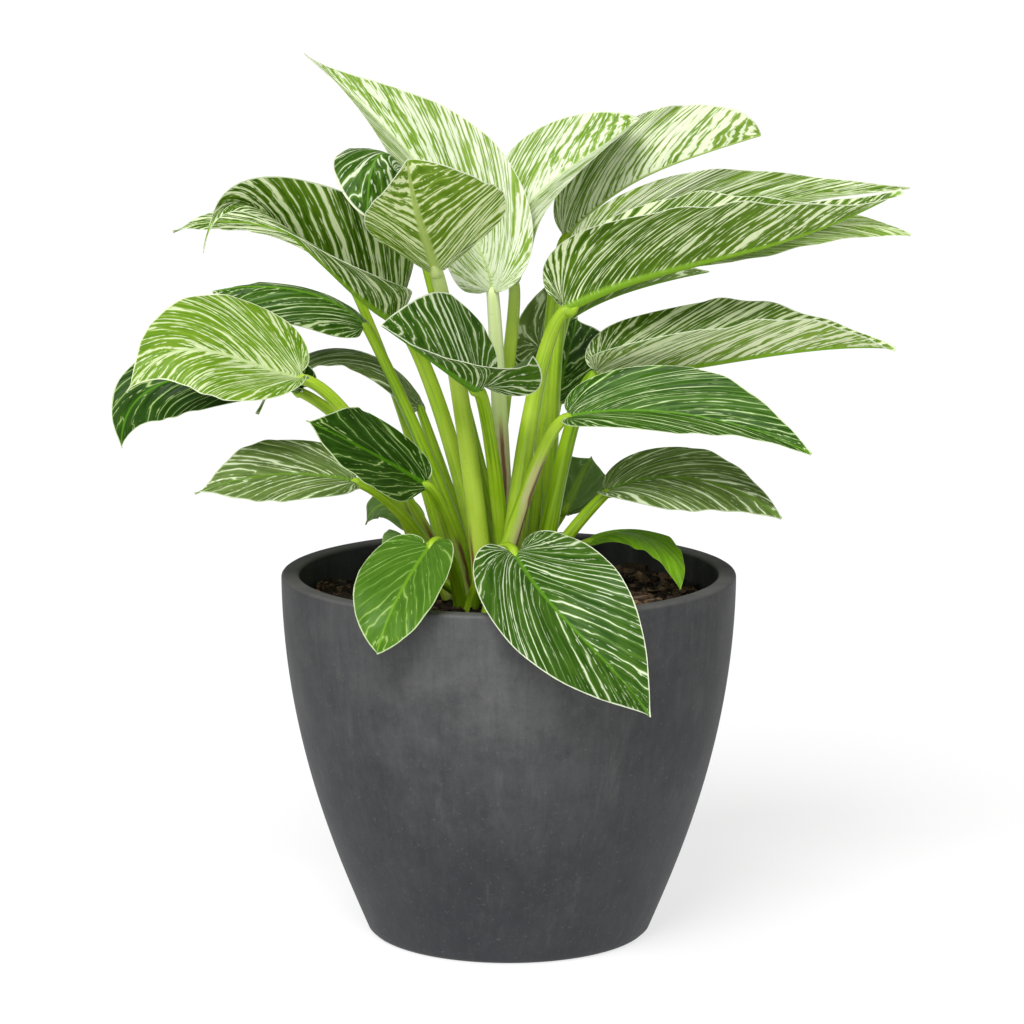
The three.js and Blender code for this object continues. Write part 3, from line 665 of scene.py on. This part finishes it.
def bladeFinish(leaf):
    look = {**usualLook, **looks[leaf["look"]]}
    make = bladeFinishMake
    f = Finish(f"variegatedBlade_{leaf['number']:02d}")
    vein, reach, half, under = [f.attribute(key) for key in ("vein", "reach", "half", "under")]
    fromEdge, fromRib, along = [f.attribute(key) for key in ("edge", "rib", "along")]
    length = ribLength(leaf["rib"])
    lines = look["lines"] * length
    fan = vein ** make["fan"]
    seed = leaf["number"] * make["seedStep"]
    across, onwards = make["swayRates"]
    halfSway, halfPlace, halfBreaks = make["halfSteps"]

    # the share of its space that the line at each place takes, and how far that place is from its middle
    def stripes(count, shift, width, vary, breaks, rate):
        sway = f.noise(f.vector(fan * (count * across), reach * onwards, half * halfSway + shift))
        place = fan * count + sway * make["sway"] + half * halfPlace
        line = f.add("ShaderNodeMath", {"operation": "FLOOR"}, {0: place})
        cell = f.vector(line, half + shift, 0.0)
        own = f.add("ShaderNodeTexWhiteNoise", {"noise_dimensions": "2D"}, {"Vector": cell})
        where = f.vector(line * make["breakStep"], reach * rate, half * halfBreaks + shift)
        change = f.noise(where, roughness=make["breakRoughness"])
        share = (own - 0.5) * vary + (change - 0.5) * breaks * 2 + width
        return share, abs(place - line - 0.5)

    def inside(share, fromMiddle, softness):
        return f.step(share * 0.5 - fromMiddle, -softness, softness)

    def onRib(width, edges):
        return 1 - f.step(fromRib / ((1 - along * make["ribTaper"]) * width), *edges)

    right, left = milkiness.get(leaf["number"], ((0, 0), (0, 0)))
    onRight = half * 0.5 + 0.5
    milk = onRight * (along * (right[1] - right[0]) + right[0])
    milk = milk + (1 - onRight) * (along * (left[1] - left[0]) + left[0])
    nearRib = 1 - f.step(reach, 0.0, make["centreReach"])
    widening = nearRib * look["centre"] + milk * make["milkWidening"] - along * look["fade"]

    share, fromMiddle = stripes(lines, seed, look["width"], look["vary"], look["breaks"], look["rate"])
    share = share + widening
    paleMask = inside(share, fromMiddle, make["lineSoftness"])
    fringe = inside(share + make["fringe"], fromMiddle, make["fringeSoftness"])
    dashes = lines * make["dashesPerLine"]
    short, shortMiddle = stripes(dashes, seed + make["dashSeed"], look["dashes"], **make["dashes"])
    dashMask = inside(short + widening * make["dashWidening"], shortMiddle, make["dashSoftness"])
    fleckMask = inside(look["flecks"] - short, shortMiddle, make["dashSoftness"])
    fineMask = inside(*stripes(lines * make["finePerLine"], seed + make["fineSeed"], **make["fineLines"]),
                      make["fineSoftness"])

    cloudRates = make["cloudRates"]
    tone = f.noise(f.vector(vein * cloudRates[0], reach * cloudRates[1], seed), detail=3.0)
    green = f.mix(f.step(tone, *make["cloudEdges"]) * make["cloudShare"], look["deep"], look["mid"])
    green = f.mix(milk * make["milkShare"], green, make["milkyGreen"])
    green = f.mix(under * make["underShare"], green, look["mid"])
    green = f.mix(fringe * make["fringeShare"], green, look["mid"])
    green = f.mix(fineMask * make["fineShare"], green, look["mid"])
    green = f.mix(dashMask * make["dashShare"], green, look["pale"])
    pale = f.mix(under * make["underPaleShare"], look["pale"], make["underPale"])
    colour = f.mix(paleMask * (1 - fleckMask * make["fleckShare"]), green, pale)
    rib = onRib(make["ribWidth"], make["ribEdges"])
    colour = f.mix(rib * make["ribShare"], colour, look["rib"])
    broadRib = under * onRib(make["underRibWidth"], make["underRibEdges"])
    colour = f.mix(broadRib * make["ribShare"], colour, look["rib"])
    rimRates = make["rimRates"]
    where = f.vector(vein * (lines * rimRates[0]), half * rimRates[1], seed + make["rimSeed"])
    ragged = f.noise(where, detail=1.0)
    rimDepth = ragged * (make["rimWidth"] * 2) - fromEdge
    colour = f.mix(f.step(rimDepth, -make["rimSoftness"], make["rimSoftness"]), colour, look["rim"])

    turns = vein * (make["sideVeinsPerMetre"] * length * 2 * math.pi)
    veins = f.add("ShaderNodeMath", {"operation": "SINE"}, {0: turns})
    relief = f.bump(f.noise(f.place(), scale=make["grainRate"]), *make["grainBump"])
    normal = f.bump(veins, *make["veinBump"], relief)
    roughness = under * (make["underRoughness"] - make["roughness"]) + make["roughness"]
    roughness = roughness + (tone - 0.5) * make["roughnessSpread"]
    return f.close(colour=colour, roughness=roughness, normal=normal, specular=make["specular"])


print("leaves:", len(leaves))
for leaf in leaves:
    buildBlade(leaf, bladeFinish(leaf))

# Stalks, from the soil to the blade; each ends as the rib of its blade
stalkMake = dict(
    sides=20,
    steps=44,
    footLevel=0.184,
    soilLevel=0.2,
    clearance=0.0009,
    taper=0.8,
    channel=0.16,  # depth of the channel on the inner side, as a share of the radius
    channelWidth=0.55,
    inwards=0.02,  # the channel faces the middle of the plant and a little up
    underRib=0.007,  # how far the end reaches below the blade
    underSteps=(0.25, 0.5, 0.75, 1.0),
    underTaper=0.75,
    underSink=(0.7, 0.0004),  # as a share of its radius, and half the blade
    grain=(1.0, 0.4, 0.0),  # the streaks vary along this
    seamStart=0.06,
    seedStep=3.7,
)
stalkLooks = dict(
    white=(0.72, 0.83, 0.44),
    fresh=(0.52, 0.70, 0.070),
    colour=(0.31, 0.52, 0.010),
    shade=(0.11, 0.26, 0.002),
    sheath=(0.56, 0.49, 0.27),
    seam=(0.17, 0.055, 0.02),
    streakRates=(3.2, 2.2),  # around the stalk and along it
    streakEdges=(0.26, 0.60),
    cloudRate=38,
    speckRate=330,
    layers=[  # a pattern, where it starts and is full, its share and its colour
        ("clouds", (0.30, 0.80), 1, "fresh"), ("height", (0.95, 1.25), 1, "white"),
        ("channel", (0.35, 0.95), 0.3, "fresh"), ("specks", (0.66, 0.80), 0.15, "shade"),
    ],
    seamWidth=0.0013,
    seamEdges=(0.5, 1.3),
    seamGaps=(0.15, 0.40),
    seamWander=0.004,
    wanderRate=6.0,
    sheathWidth=0.0060,
    sheathEdges=(0.4, 1.0),
    drySide=(0.0, 0.25),
    dryEnds=(0.0, 0.12),
    dryShare=0.9,
    bump=(0.0004, 0.5),
    roughness=0.34,
    roughnessSpread=0.2,
    specular=0.22,
)
# for each stalk: how fresh its green is, from 0 to 1; the way its seam faces; the share of its height
# where the seam starts and ends; how strong the dry sheath beside the seam is
stalkTones = {
    1: (1.0, (0.15, -1), (0.02, 0.62), 1.0), 2: (0.75, (0, -1), (0.0, 0.2), 0.2),
    3: (0.8, (-0.75, -0.65), (0.0, 0.3), 0.1), 4: (0.5, (0, -1), (0.0, 0.3), 0.3),
    5: (0.55, (0.5, -0.85), (0.0, 0.42), 0.15), 7: (0.35, (-1, -0.6), (0.0, 0.35), 0.2),
    8: (0.55, (0.6, -0.8), (0.0, 0.5), 0.35), 9: (0.45, (0.5, -0.85), (0.0, 0.45), 0.3),
    11: (0.3, (0.75, -0.65), (0.0, 0.6), 0.4), 13: (0.35, (0.6, -0.4), (0.0, 0.6), 0.5),
    15: (0.15, (0.5, 0.8), (0.0, 0.5), 0.2), 17: (0.3, (0, 1), (0.4, 1.0), 0.2),
    20: (0.55, (1, -0.1), (0.0, 0.5), 0.15), 23: (0.2, (0.5, -1), (0.0, 0.3), 0.1),
    25: (0.5, (0.85, -0.5), (0.05, 0.85), 0.8), 26: (0.2, (1, -1), (0.0, 0.4), 0.2),
}
stalkUsual = (0.35, (1, 0), (0.0, 0.3), 0.2)


def stalkFinish():
    make = stalkLooks
    f = Finish("fleshyStalk")
    run, facing, seed = f.attribute("run"), f.attribute("facing"), f.attribute("seed")
    fresh, dry, inner = f.attribute("fresh"), f.attribute("dry"), f.attribute("inner")
    fromSeam, inSeam, sideways = f.attribute("fromSeam"), f.attribute("inSeam"), f.attribute("sideways")
    around, along = make["streakRates"]
    streaks = f.noise(f.vector(sideways * around, run * along, seed))
    clouds = f.noise(f.place(), scale=make["cloudRate"])
    patterns = {
        "clouds": clouds * 0.5 + fresh * 0.5,
        "height": fresh * 0.9 + run * 0.4,
        "channel": inner,
        "specks": f.noise(f.place(), scale=make["speckRate"], detail=1.0),
    }
    colour = f.mix(f.step(streaks, *make["streakEdges"]), make["shade"], make["colour"])
    colour = f.layers(colour, patterns, make)
    wander = (f.noise(f.vector(run * make["wanderRate"], seed, 0.0)) - 0.5) * make["seamWander"]
    away = abs(fromSeam + wander)
    there = f.step(facing, *make["drySide"]) * f.step(inSeam, *make["dryEnds"])
    near, far = [share * make["sheathWidth"] for share in make["sheathEdges"]]
    sheath = there * dry * (1 - f.step(away, near, far))
    colour = f.mix(sheath * make["dryShare"], colour, make["sheath"])
    near, far = [share * make["seamWidth"] for share in make["seamEdges"]]
    seam = there * (1 - f.step(away, near, far))
    colour = f.mix(seam * f.step(streaks, *make["seamGaps"]) * make["dryShare"], colour, make["seam"])
    normal = f.bump(streaks + seam * -0.5, *make["bump"])
    roughness = (clouds - 0.5) * make["roughnessSpread"] + make["roughness"]
    return f.close(colour=colour, roughness=roughness, normal=normal, specular=make["specular"])


def stalkHandles(leaf):
    direction = ribDirection(leaf["rib"], np.array(0.0))
    end = leaf["rib"][0] - direction * stalkMake["clearance"]
    foot = np.array([leaf["foot"][0], leaf["foot"][1], stalkMake["footLevel"]])
    return [foot, foot + (0, 0, leaf["rise"]), *leaf["bend"], end - direction * leaf["neck"], end]


def tube(path, radii, inner):
    make = stalkMake
    sides = make["sides"]
    directions = unit(np.gradient(path, axis=0))
    turn = np.arange(sides) * 2 * math.pi / sides
    hollow = np.exp(-(np.minimum(turn, 2 * math.pi - turn) / make["channelWidth"]) ** 2)
    rings = []
    for centre, direction, radius, towards in zip(path, directions, radii, inner):
        axis = unit(towards - direction * (towards @ direction))
        other = np.cross(direction, axis)
        wide = radius * (1 - make["channel"] * hollow)
        rings.append(centre + wide[:, None] * (np.cos(turn)[:, None] * axis + np.sin(turn)[:, None] * other))
    points = np.concatenate([path[:1]] + rings + [path[-1:]])
    centres = np.concatenate([path[:1], np.repeat(path, sides, axis=0), path[-1:]])
    inChannel = np.concatenate([[0], *[hollow for _ in rings], [0]])
    return points, ringFaces(len(rings), sides), points - centres, inChannel


def buildStalk(leaf, material):
    make = stalkMake
    t = np.linspace(0, 1, make["steps"])
    path = bezierPoint(stalkHandles(leaf), t)
    radii = leaf["girth"] + (stemTipRadius(leaf) - leaf["girth"]) * t ** make["taper"]
    toAxis = np.stack([-path[:, 0], -path[:, 1], np.full(len(t), make["inwards"])], axis=1)
    inner = unit(toAxis) * (1 - t)[:, None] + unit(leaf["face"]) * t[:, None]

    # the end runs on below the blade and thins out into its rib
    beyond = np.array(make["underSteps"])
    share = beyond * make["underRib"] / ribLength(leaf["rib"])
    direction = ribDirection(leaf["rib"], share)
    above = unit(leaf["face"] - direction * (direction @ leaf["face"])[:, None])
    thin = stemTipRadius(leaf) * (1 - make["underTaper"] * beyond)
    sink = thin * make["underSink"][0] + make["underSink"][1]
    path = np.concatenate([path, ribPoint(leaf["rib"], share) - above * sink[:, None]])
    radii = np.concatenate([radii, thin])
    inner = np.concatenate([inner, above])
    points, faces, offsets, inners = tube(path, radii, inner)

    fresh, seamWay, seamSpan, dry = stalkTones.get(leaf["number"], stalkUsual)
    outward = unit(np.array([*seamWay, 0.0]))
    sideways = np.array([-outward[1], outward[0], 0.0])
    run = (points[:, 2] - make["soilLevel"]) / max(path[:, 2].max() - make["soilLevel"], 0.01)
    size = np.maximum(np.linalg.norm(offsets, axis=1), 1e-6)
    attributes = {
        "run": run,
        "inner": inners,
        "facing": offsets @ outward / size,
        "fromSeam": offsets @ sideways,
        "sideways": offsets @ np.array(make["grain"]) / size,
        "inSeam": np.minimum(run - seamSpan[0] + make["seamStart"], seamSpan[1] - run),
        "fresh": np.full(len(points), fresh),
        "dry": np.full(len(points), dry),
        "seed": np.full(len(points), leaf["number"] * make["seedStep"]),
    }
    name = f"{leaf['number']:02d}"
    return addPiece("stalk_" + name, points, faces, material, "stem_" + name, attributes)


stalkMaterial = stalkFinish()
for leaf in leaves:
    buildStalk(leaf, stalkMaterial)
print("stalks:", len(leaves))

# Planter
planter = dict(
    height=0.225,
    radius=0.1397,
    footRadius=0.087,
    swell=1.05,  # above 1 the side is straighter at the foot
    sideSpan=(0.0064, 0.22236),  # the heights between the rounded foot and the rounded lip
    footSteps=((-0.004, 0.0), (-0.0012, 0.0006), (0.0009642, 0.0026)),  # beyond the foot radius, height
    wall=0.011,
    floor=0.014,
    floorInset=0.004,
    lipRound=0.0022,
    sides=160,
    rows=46,
    sharpAngle=50,
    colour=(0.045, 0.046, 0.048),
    dark=(0.020, 0.021, 0.023),
    dampAndPaintedShade=(0.017, 0.0195, 0.025),  # for damp stains and specks, and painted shade that darkens the pot towards the foot
    dust=(0.135, 0.132, 0.126),
    paintedFrontLight=(0.098, 0.099, 0.099),
    paintedLightAt=(-0.012, -0.135, 0.19),  # painted light: the middle of a paler patch on the upper front, where the light falls most
    paintedLightReach=0.15,
    darkEdges=(0.42, 0.58),
    footShadeShare=0.7,
    footShadeTop=0.9,  # how high the painted shade reaches, as a share of the height
    layers=[  # a pattern, where it starts and is full, its share and its colour
        ("stains", (0.56, 0.68), 0.35, "dampAndPaintedShade"), ("streaks", (0.56, 0.74), 0.25, "dust"),
        ("brushed", (0.40, 0.70), 0.05, "dust"), ("brushed", (0.56, 0.34), 0.15, "dark"),
        ("specks", (0.62, 0.74), 0.34, "dust"), ("specks", (0.36, 0.26), 0.35, "dampAndPaintedShade"),
    ],
    lipWear=(0.0024, 0.0002),  # below the top
    bump=(0.0007, 0.5),
    roughness=0.62,
    roughnessSpread=0.3,
    specular=0.4,
)


def outerRadius(height):
    share = np.clip(height / planter["height"], 0, 1)
    flare = planter["radius"] - planter["footRadius"]
    return planter["footRadius"] + flare * (1 - (1 - share) ** 2) ** planter["swell"]


def revolve(profile, sides):
    turn = (np.arange(sides) + 0.5) * 2 * math.pi / sides
    around = np.stack([np.cos(turn), np.sin(turn), np.zeros(sides)], axis=1)
    points = [(0, 0, profile[0][1])]
    for radius, height in profile[1:-1]:
        points += list(around * radius + (0, 0, height))
    points.append((0, 0, profile[-1][1]))
    return np.array(points), ringFaces(len(profile) - 2, sides)


def arc(radius, height, size, start, end, steps=5):
    angles = np.radians(np.linspace(start, end, steps))
    return [(radius + size * math.cos(a), height + size * math.sin(a)) for a in angles]


def planterFinish():
    make = planter
    f = Finish("charcoalFibreClay")
    place = f.place()
    x, y, z = f.split(place)
    clouds = f.noise(place, scale=9, detail=4.0, roughness=0.6)
    mottle = f.noise(place, scale=42, detail=5.0, roughness=0.75)
    worn = f.noise(place, scale=60, detail=3.0)
    pits = f.cells(place, 260)
    patterns = {
        "stains": f.noise(f.vector(x, y, z * 0.6), scale=17, detail=6.0, roughness=0.75),
        "streaks": f.noise(f.vector(x * 55, y * 55, z * 3.0), detail=5.0, roughness=0.7),
        "brushed": f.noise(f.vector(x * 240, y * 240, z * 26), detail=4.0, roughness=0.65),
        "specks": f.noise(place, scale=420, detail=2.0, roughness=0.7),
    }
    mask = f.step(clouds * 0.35 + patterns["streaks"] * 0.35 + mottle * 0.3, *make["darkEdges"])
    colour = f.mix(mask, make["dark"], make["colour"])
    ends = {0: place, 1: make["paintedLightAt"]}
    away = f.add("ShaderNodeVectorMath", {"operation": "DISTANCE"}, ends, output="Value")
    # painted light: a mottled paler patch around the upper front of the pot
    paintedFrontLight = 1 - f.step(away + (clouds - 0.5) * 0.06, 0.0, make["paintedLightReach"])
    colour = f.mix(paintedFrontLight * (mottle * 1.7 - 0.2), colour, make["paintedFrontLight"])
    # painted shade: the pot darkens towards its foot, where less light reaches
    footShade = 1 - f.step(z + (clouds - 0.5) * 0.12, 0.0, make["height"] * make["footShadeTop"])
    colour = f.mix(footShade * make["footShadeShare"], colour, make["dampAndPaintedShade"])
    colour = f.layers(colour, patterns, make)
    lip = f.step(z, *[make["height"] - depth for depth in make["lipWear"]])
    colour = f.mix(lip * (worn * 0.7 + 0.2), colour, make["dust"])
    height = mottle * 0.4 + patterns["specks"] * 0.25 + patterns["brushed"] * 0.1
    normal = f.bump(height + f.step(pits, 0.0, 0.22) * 0.35, *make["bump"])
    roughness = (patterns["streaks"] - 0.5) * make["roughnessSpread"] + make["roughness"]
    return f.close(colour=colour, roughness=roughness, normal=normal, specular=make["specular"])


def buildPlanter():
    make = planter
    outside = [(outerRadius(h), h) for h in np.linspace(*make["sideSpan"], make["rows"])]
    rim = float(outerRadius(make["height"]))
    size = make["lipRound"]
    lip = arc(rim - size, make["height"] - size, size, 5, 90)
    lip += arc(rim - make["wall"] + size, make["height"] - size, size, 90, 175)
    inside = [(r - make["wall"], h) for r, h in reversed(outside) if h > make["floor"] + 0.003]
    foot = [(0, 0)] + [(make["footRadius"] + away, height) for away, height in make["footSteps"]]
    floorRadius = float(outerRadius(make["floor"])) - make["wall"] - make["floorInset"]
    floor = [(floorRadius, make["floor"]), (0, make["floor"])]
    points, faces = revolve(foot + outside + lip + inside + floor, make["sides"])
    return addPiece("planter", points, faces, planterFinish(), "pot", sharpAngle=make["sharpAngle"])


buildPlanter()
print("planter")

# Soil: a bumpy bed with bark chips on it
soil = dict(
    radius=0.1265,
    edgeLevel=0.2015,
    crown=0.004,  # the middle is higher by this
    crownSlope=0.057,
    underside=0.1735,
    rings=60,
    sides=150,
    waves=60,  # the bumps of the bed are so many waves in all directions
    waveTurns=(60, 700),  # radians to a metre
    waveWays=(0, 6.28),
    bumps=0.000728,
    chips=5200,
    chipReach=0.1245,
    chipEdge=0.1285,
    chipSize=(0.0012, 0.0052),  # half the length
    longChips=(0.12, 1.5),  # so many are so much longer
    chipWidth=(0.3, 0.8),  # as a share of the length
    chipHeight=(0.2, 0.45),
    chipUneven=0.35,
    chipTilt=0.6,
    chipLift=(-0.0005, 0.0026),
    clearance=0.6,  # between chips and stalks, as a share of the chip's size
    chipAngle=25,
    colour=(0.022, 0.014, 0.008),
    light=(0.22, 0.14, 0.08),
    darkPatches=(0.008, 0.005, 0.003),
    lightEdges=(0.42, 0.95),
    darkPatchEdges=(0.3, 0.5),
    bedBump=0.0012,
    chipBump=0.0008,
    roughness=0.9,
    specular=0.25,
    seed=11,
)


def soilFinish(name, depth):
    make = soil
    f = Finish(name)
    place = f.place()
    tone = f.attribute("tone")
    grain = f.noise(place, scale=600, detail=3.0, roughness=0.7)
    lumps = f.noise(place, scale=160)
    colour = f.mix(f.step(tone * 0.6 + grain * 0.6, *make["lightEdges"]), make["colour"], make["light"])
    # near-black patches wherever the lumps noise is low
    colour = f.mix(f.step(lumps, *make["darkPatchEdges"]), make["darkPatches"], colour)
    normal = f.bump(grain, depth, 0.8)
    return f.close(colour=colour, roughness=make["roughness"], normal=normal, specular=make["specular"])


def buildBed(rng):
    make = soil
    waves = [(rng.uniform(*make["waveTurns"]), rng.uniform(*make["waveWays"]), rng.uniform(*make["waveWays"]))
             for _ in range(make["waves"])]
    slowest = make["waveTurns"][0]

    def height(x, y):
        sums = 0
        for pace, way, start in waves:
            along = x * math.cos(way) + y * math.sin(way)
            sums = sums + np.sin(along * pace + start) / (pace / slowest) ** 0.5
        fall = np.clip((make["radius"] - np.hypot(x, y)) / make["crownSlope"], 0, 1)
        return make["edgeLevel"] + make["crown"] * fall + make["bumps"] * sums

    profile = np.linspace(0, 1, make["rings"] + 1)[1:] * make["radius"]
    turn = np.arange(make["sides"]) * 2 * math.pi / make["sides"]
    x, y = np.outer(profile, np.cos(turn)), np.outer(profile, np.sin(turn))
    top = np.stack([x, y, height(x, y)], axis=-1).reshape(-1, 3)
    low = np.stack([x[-1], y[-1], np.full(len(turn), make["underside"])], axis=-1)
    centre = [[0, 0, float(height(0.0, 0.0))]]
    points = np.concatenate([centre, top, low, [[0, 0, make["underside"]]]])
    # the bed starts with its top, so its faces run the other way
    faces = [face[:1] + face[:0:-1] for face in ringFaces(make["rings"] + 1, make["sides"])]
    tone = rng.uniform(0, 1, len(points))
    material = soilFinish("peatMix", make["bedBump"])
    addPiece("soilBed", points, faces, material, "soil", {"tone": tone})
    return height


def buildChips(rng, height):
    make = soil
    points, faces, tones = [], [], []
    corners = np.array([[a, b, c] for a in (-1, 1) for b in (-1, 1) for c in (-1, 1)], float)
    box = [[0, 1, 3, 2], [4, 6, 7, 5], [0, 4, 5, 1], [2, 3, 7, 6], [0, 2, 6, 4], [1, 5, 7, 3]]
    feet = np.array([leaf["foot"] for leaf in leaves])
    girths = np.array([leaf["girth"] for leaf in leaves])
    longShare, longer = make["longChips"]
    made = 0
    while made < make["chips"]:
        radius = make["chipReach"] * math.sqrt(rng.uniform())
        angle = rng.uniform(0, 2 * math.pi)
        x, y = radius * math.cos(angle), radius * math.sin(angle)
        long = rng.uniform(*make["chipSize"]) * (longer if rng.uniform() < longShare else 1)
        onStalk = np.hypot(feet[:, 0] - x, feet[:, 1] - y) < girths + long * make["clearance"]
        if onStalk.any() or radius + long > make["chipEdge"]:
            continue
        size = long * np.array([1, rng.uniform(*make["chipWidth"]), rng.uniform(*make["chipHeight"])])
        shape = corners * size * (1 + rng.uniform(-make["chipUneven"], make["chipUneven"], corners.shape))
        tilt = Matrix.Rotation(rng.normal(0, make["chipTilt"]), 3, "X")
        spin = Matrix.Rotation(rng.uniform(0, 2 * math.pi), 3, "Z")
        lift = float(height(np.array(x), np.array(y))) + rng.uniform(*make["chipLift"])
        shape = shape @ np.array(spin @ tilt).T + (x, y, lift)
        faces += [[v + len(points) for v in face] for face in box]
        points += list(shape)
        tones += [rng.uniform() ** 2] * len(corners)
        made += 1
    material = soilFinish("barkChip", make["chipBump"])
    addPiece("barkChips", points, faces, material, attributes={"tone": tones},
             sharpAngle=make["chipAngle"])


soilRandom = np.random.default_rng(soil["seed"])
buildChips(soilRandom, buildBed(soilRandom))
print("soil")

# Stage: pale floor, soft light, camera
stage = dict(
    floorSize=60,
    floorColour=(0.35, 0.35, 0.35),
    floorGlow=0.72,  # keeps the floor white around the pot
    skyStrength=0.25,
    lamps={  # where it shines from, its strength, and how large it looks in degrees
        "key": ((-0.75, -2.0, 2.4), 2.7, 32),
        "fill": ((-0.1, -2.2, 0.25), 0.8, 45),
    },
    eye=(0.002, -2.2357, 0.6526),
    tilt=80.08,  # degrees from straight down
    lens=130.08,
    sensor=36,
    farEnd=100,
)


def buildStage():
    make = stage
    half = make["floorSize"] / 2
    mesh = bpy.data.meshes.new("floor")
    corners = [(-half, -half, 0), (half, -half, 0), (half, half, 0), (-half, half, 0)]
    mesh.from_pydata(corners, [], [(0, 1, 2, 3)])
    f = Finish("paleFloor")
    mesh.materials.append(f.close(colour=make["floorColour"] + (1.0,), roughness=0.9, specular=0.0,
                                  glow=(1.0, 1.0, 1.0, 1.0), glowStrength=make["floorGlow"]))
    floor = bpy.data.objects.new("floor", mesh)
    bpy.context.scene.collection.objects.link(floor)

    world = bpy.data.worlds.new("studio")
    bpy.context.scene.world = world
    world.use_nodes = True
    sky = world.node_tree.nodes["Background"]
    sky.inputs["Color"].default_value = (1, 1, 1, 1)
    sky.inputs["Strength"].default_value = make["skyStrength"]
    for name, (place, strength, spread) in make["lamps"].items():
        light = bpy.data.lights.new(name, "SUN")
        light.energy = strength
        light.angle = math.radians(spread)
        lamp = bpy.data.objects.new(name, light)
        bpy.context.scene.collection.objects.link(lamp)
        lamp.location = place
        lamp.rotation_euler = Vector(place).to_track_quat("Z", "Y").to_euler()
    bpy.context.scene.view_settings.view_transform = "Standard"

    camera = bpy.data.cameras.new("camera")
    camera.lens = make["lens"]
    camera.sensor_width = make["sensor"]
    camera.clip_end = make["farEnd"]
    eye = bpy.data.objects.new("camera", camera)
    bpy.context.scene.collection.objects.link(eye)
    eye.location = make["eye"]
    eye.rotation_euler = (math.radians(make["tilt"]), 0, 0)
    bpy.context.scene.camera = eye


buildStage()
print("stage")
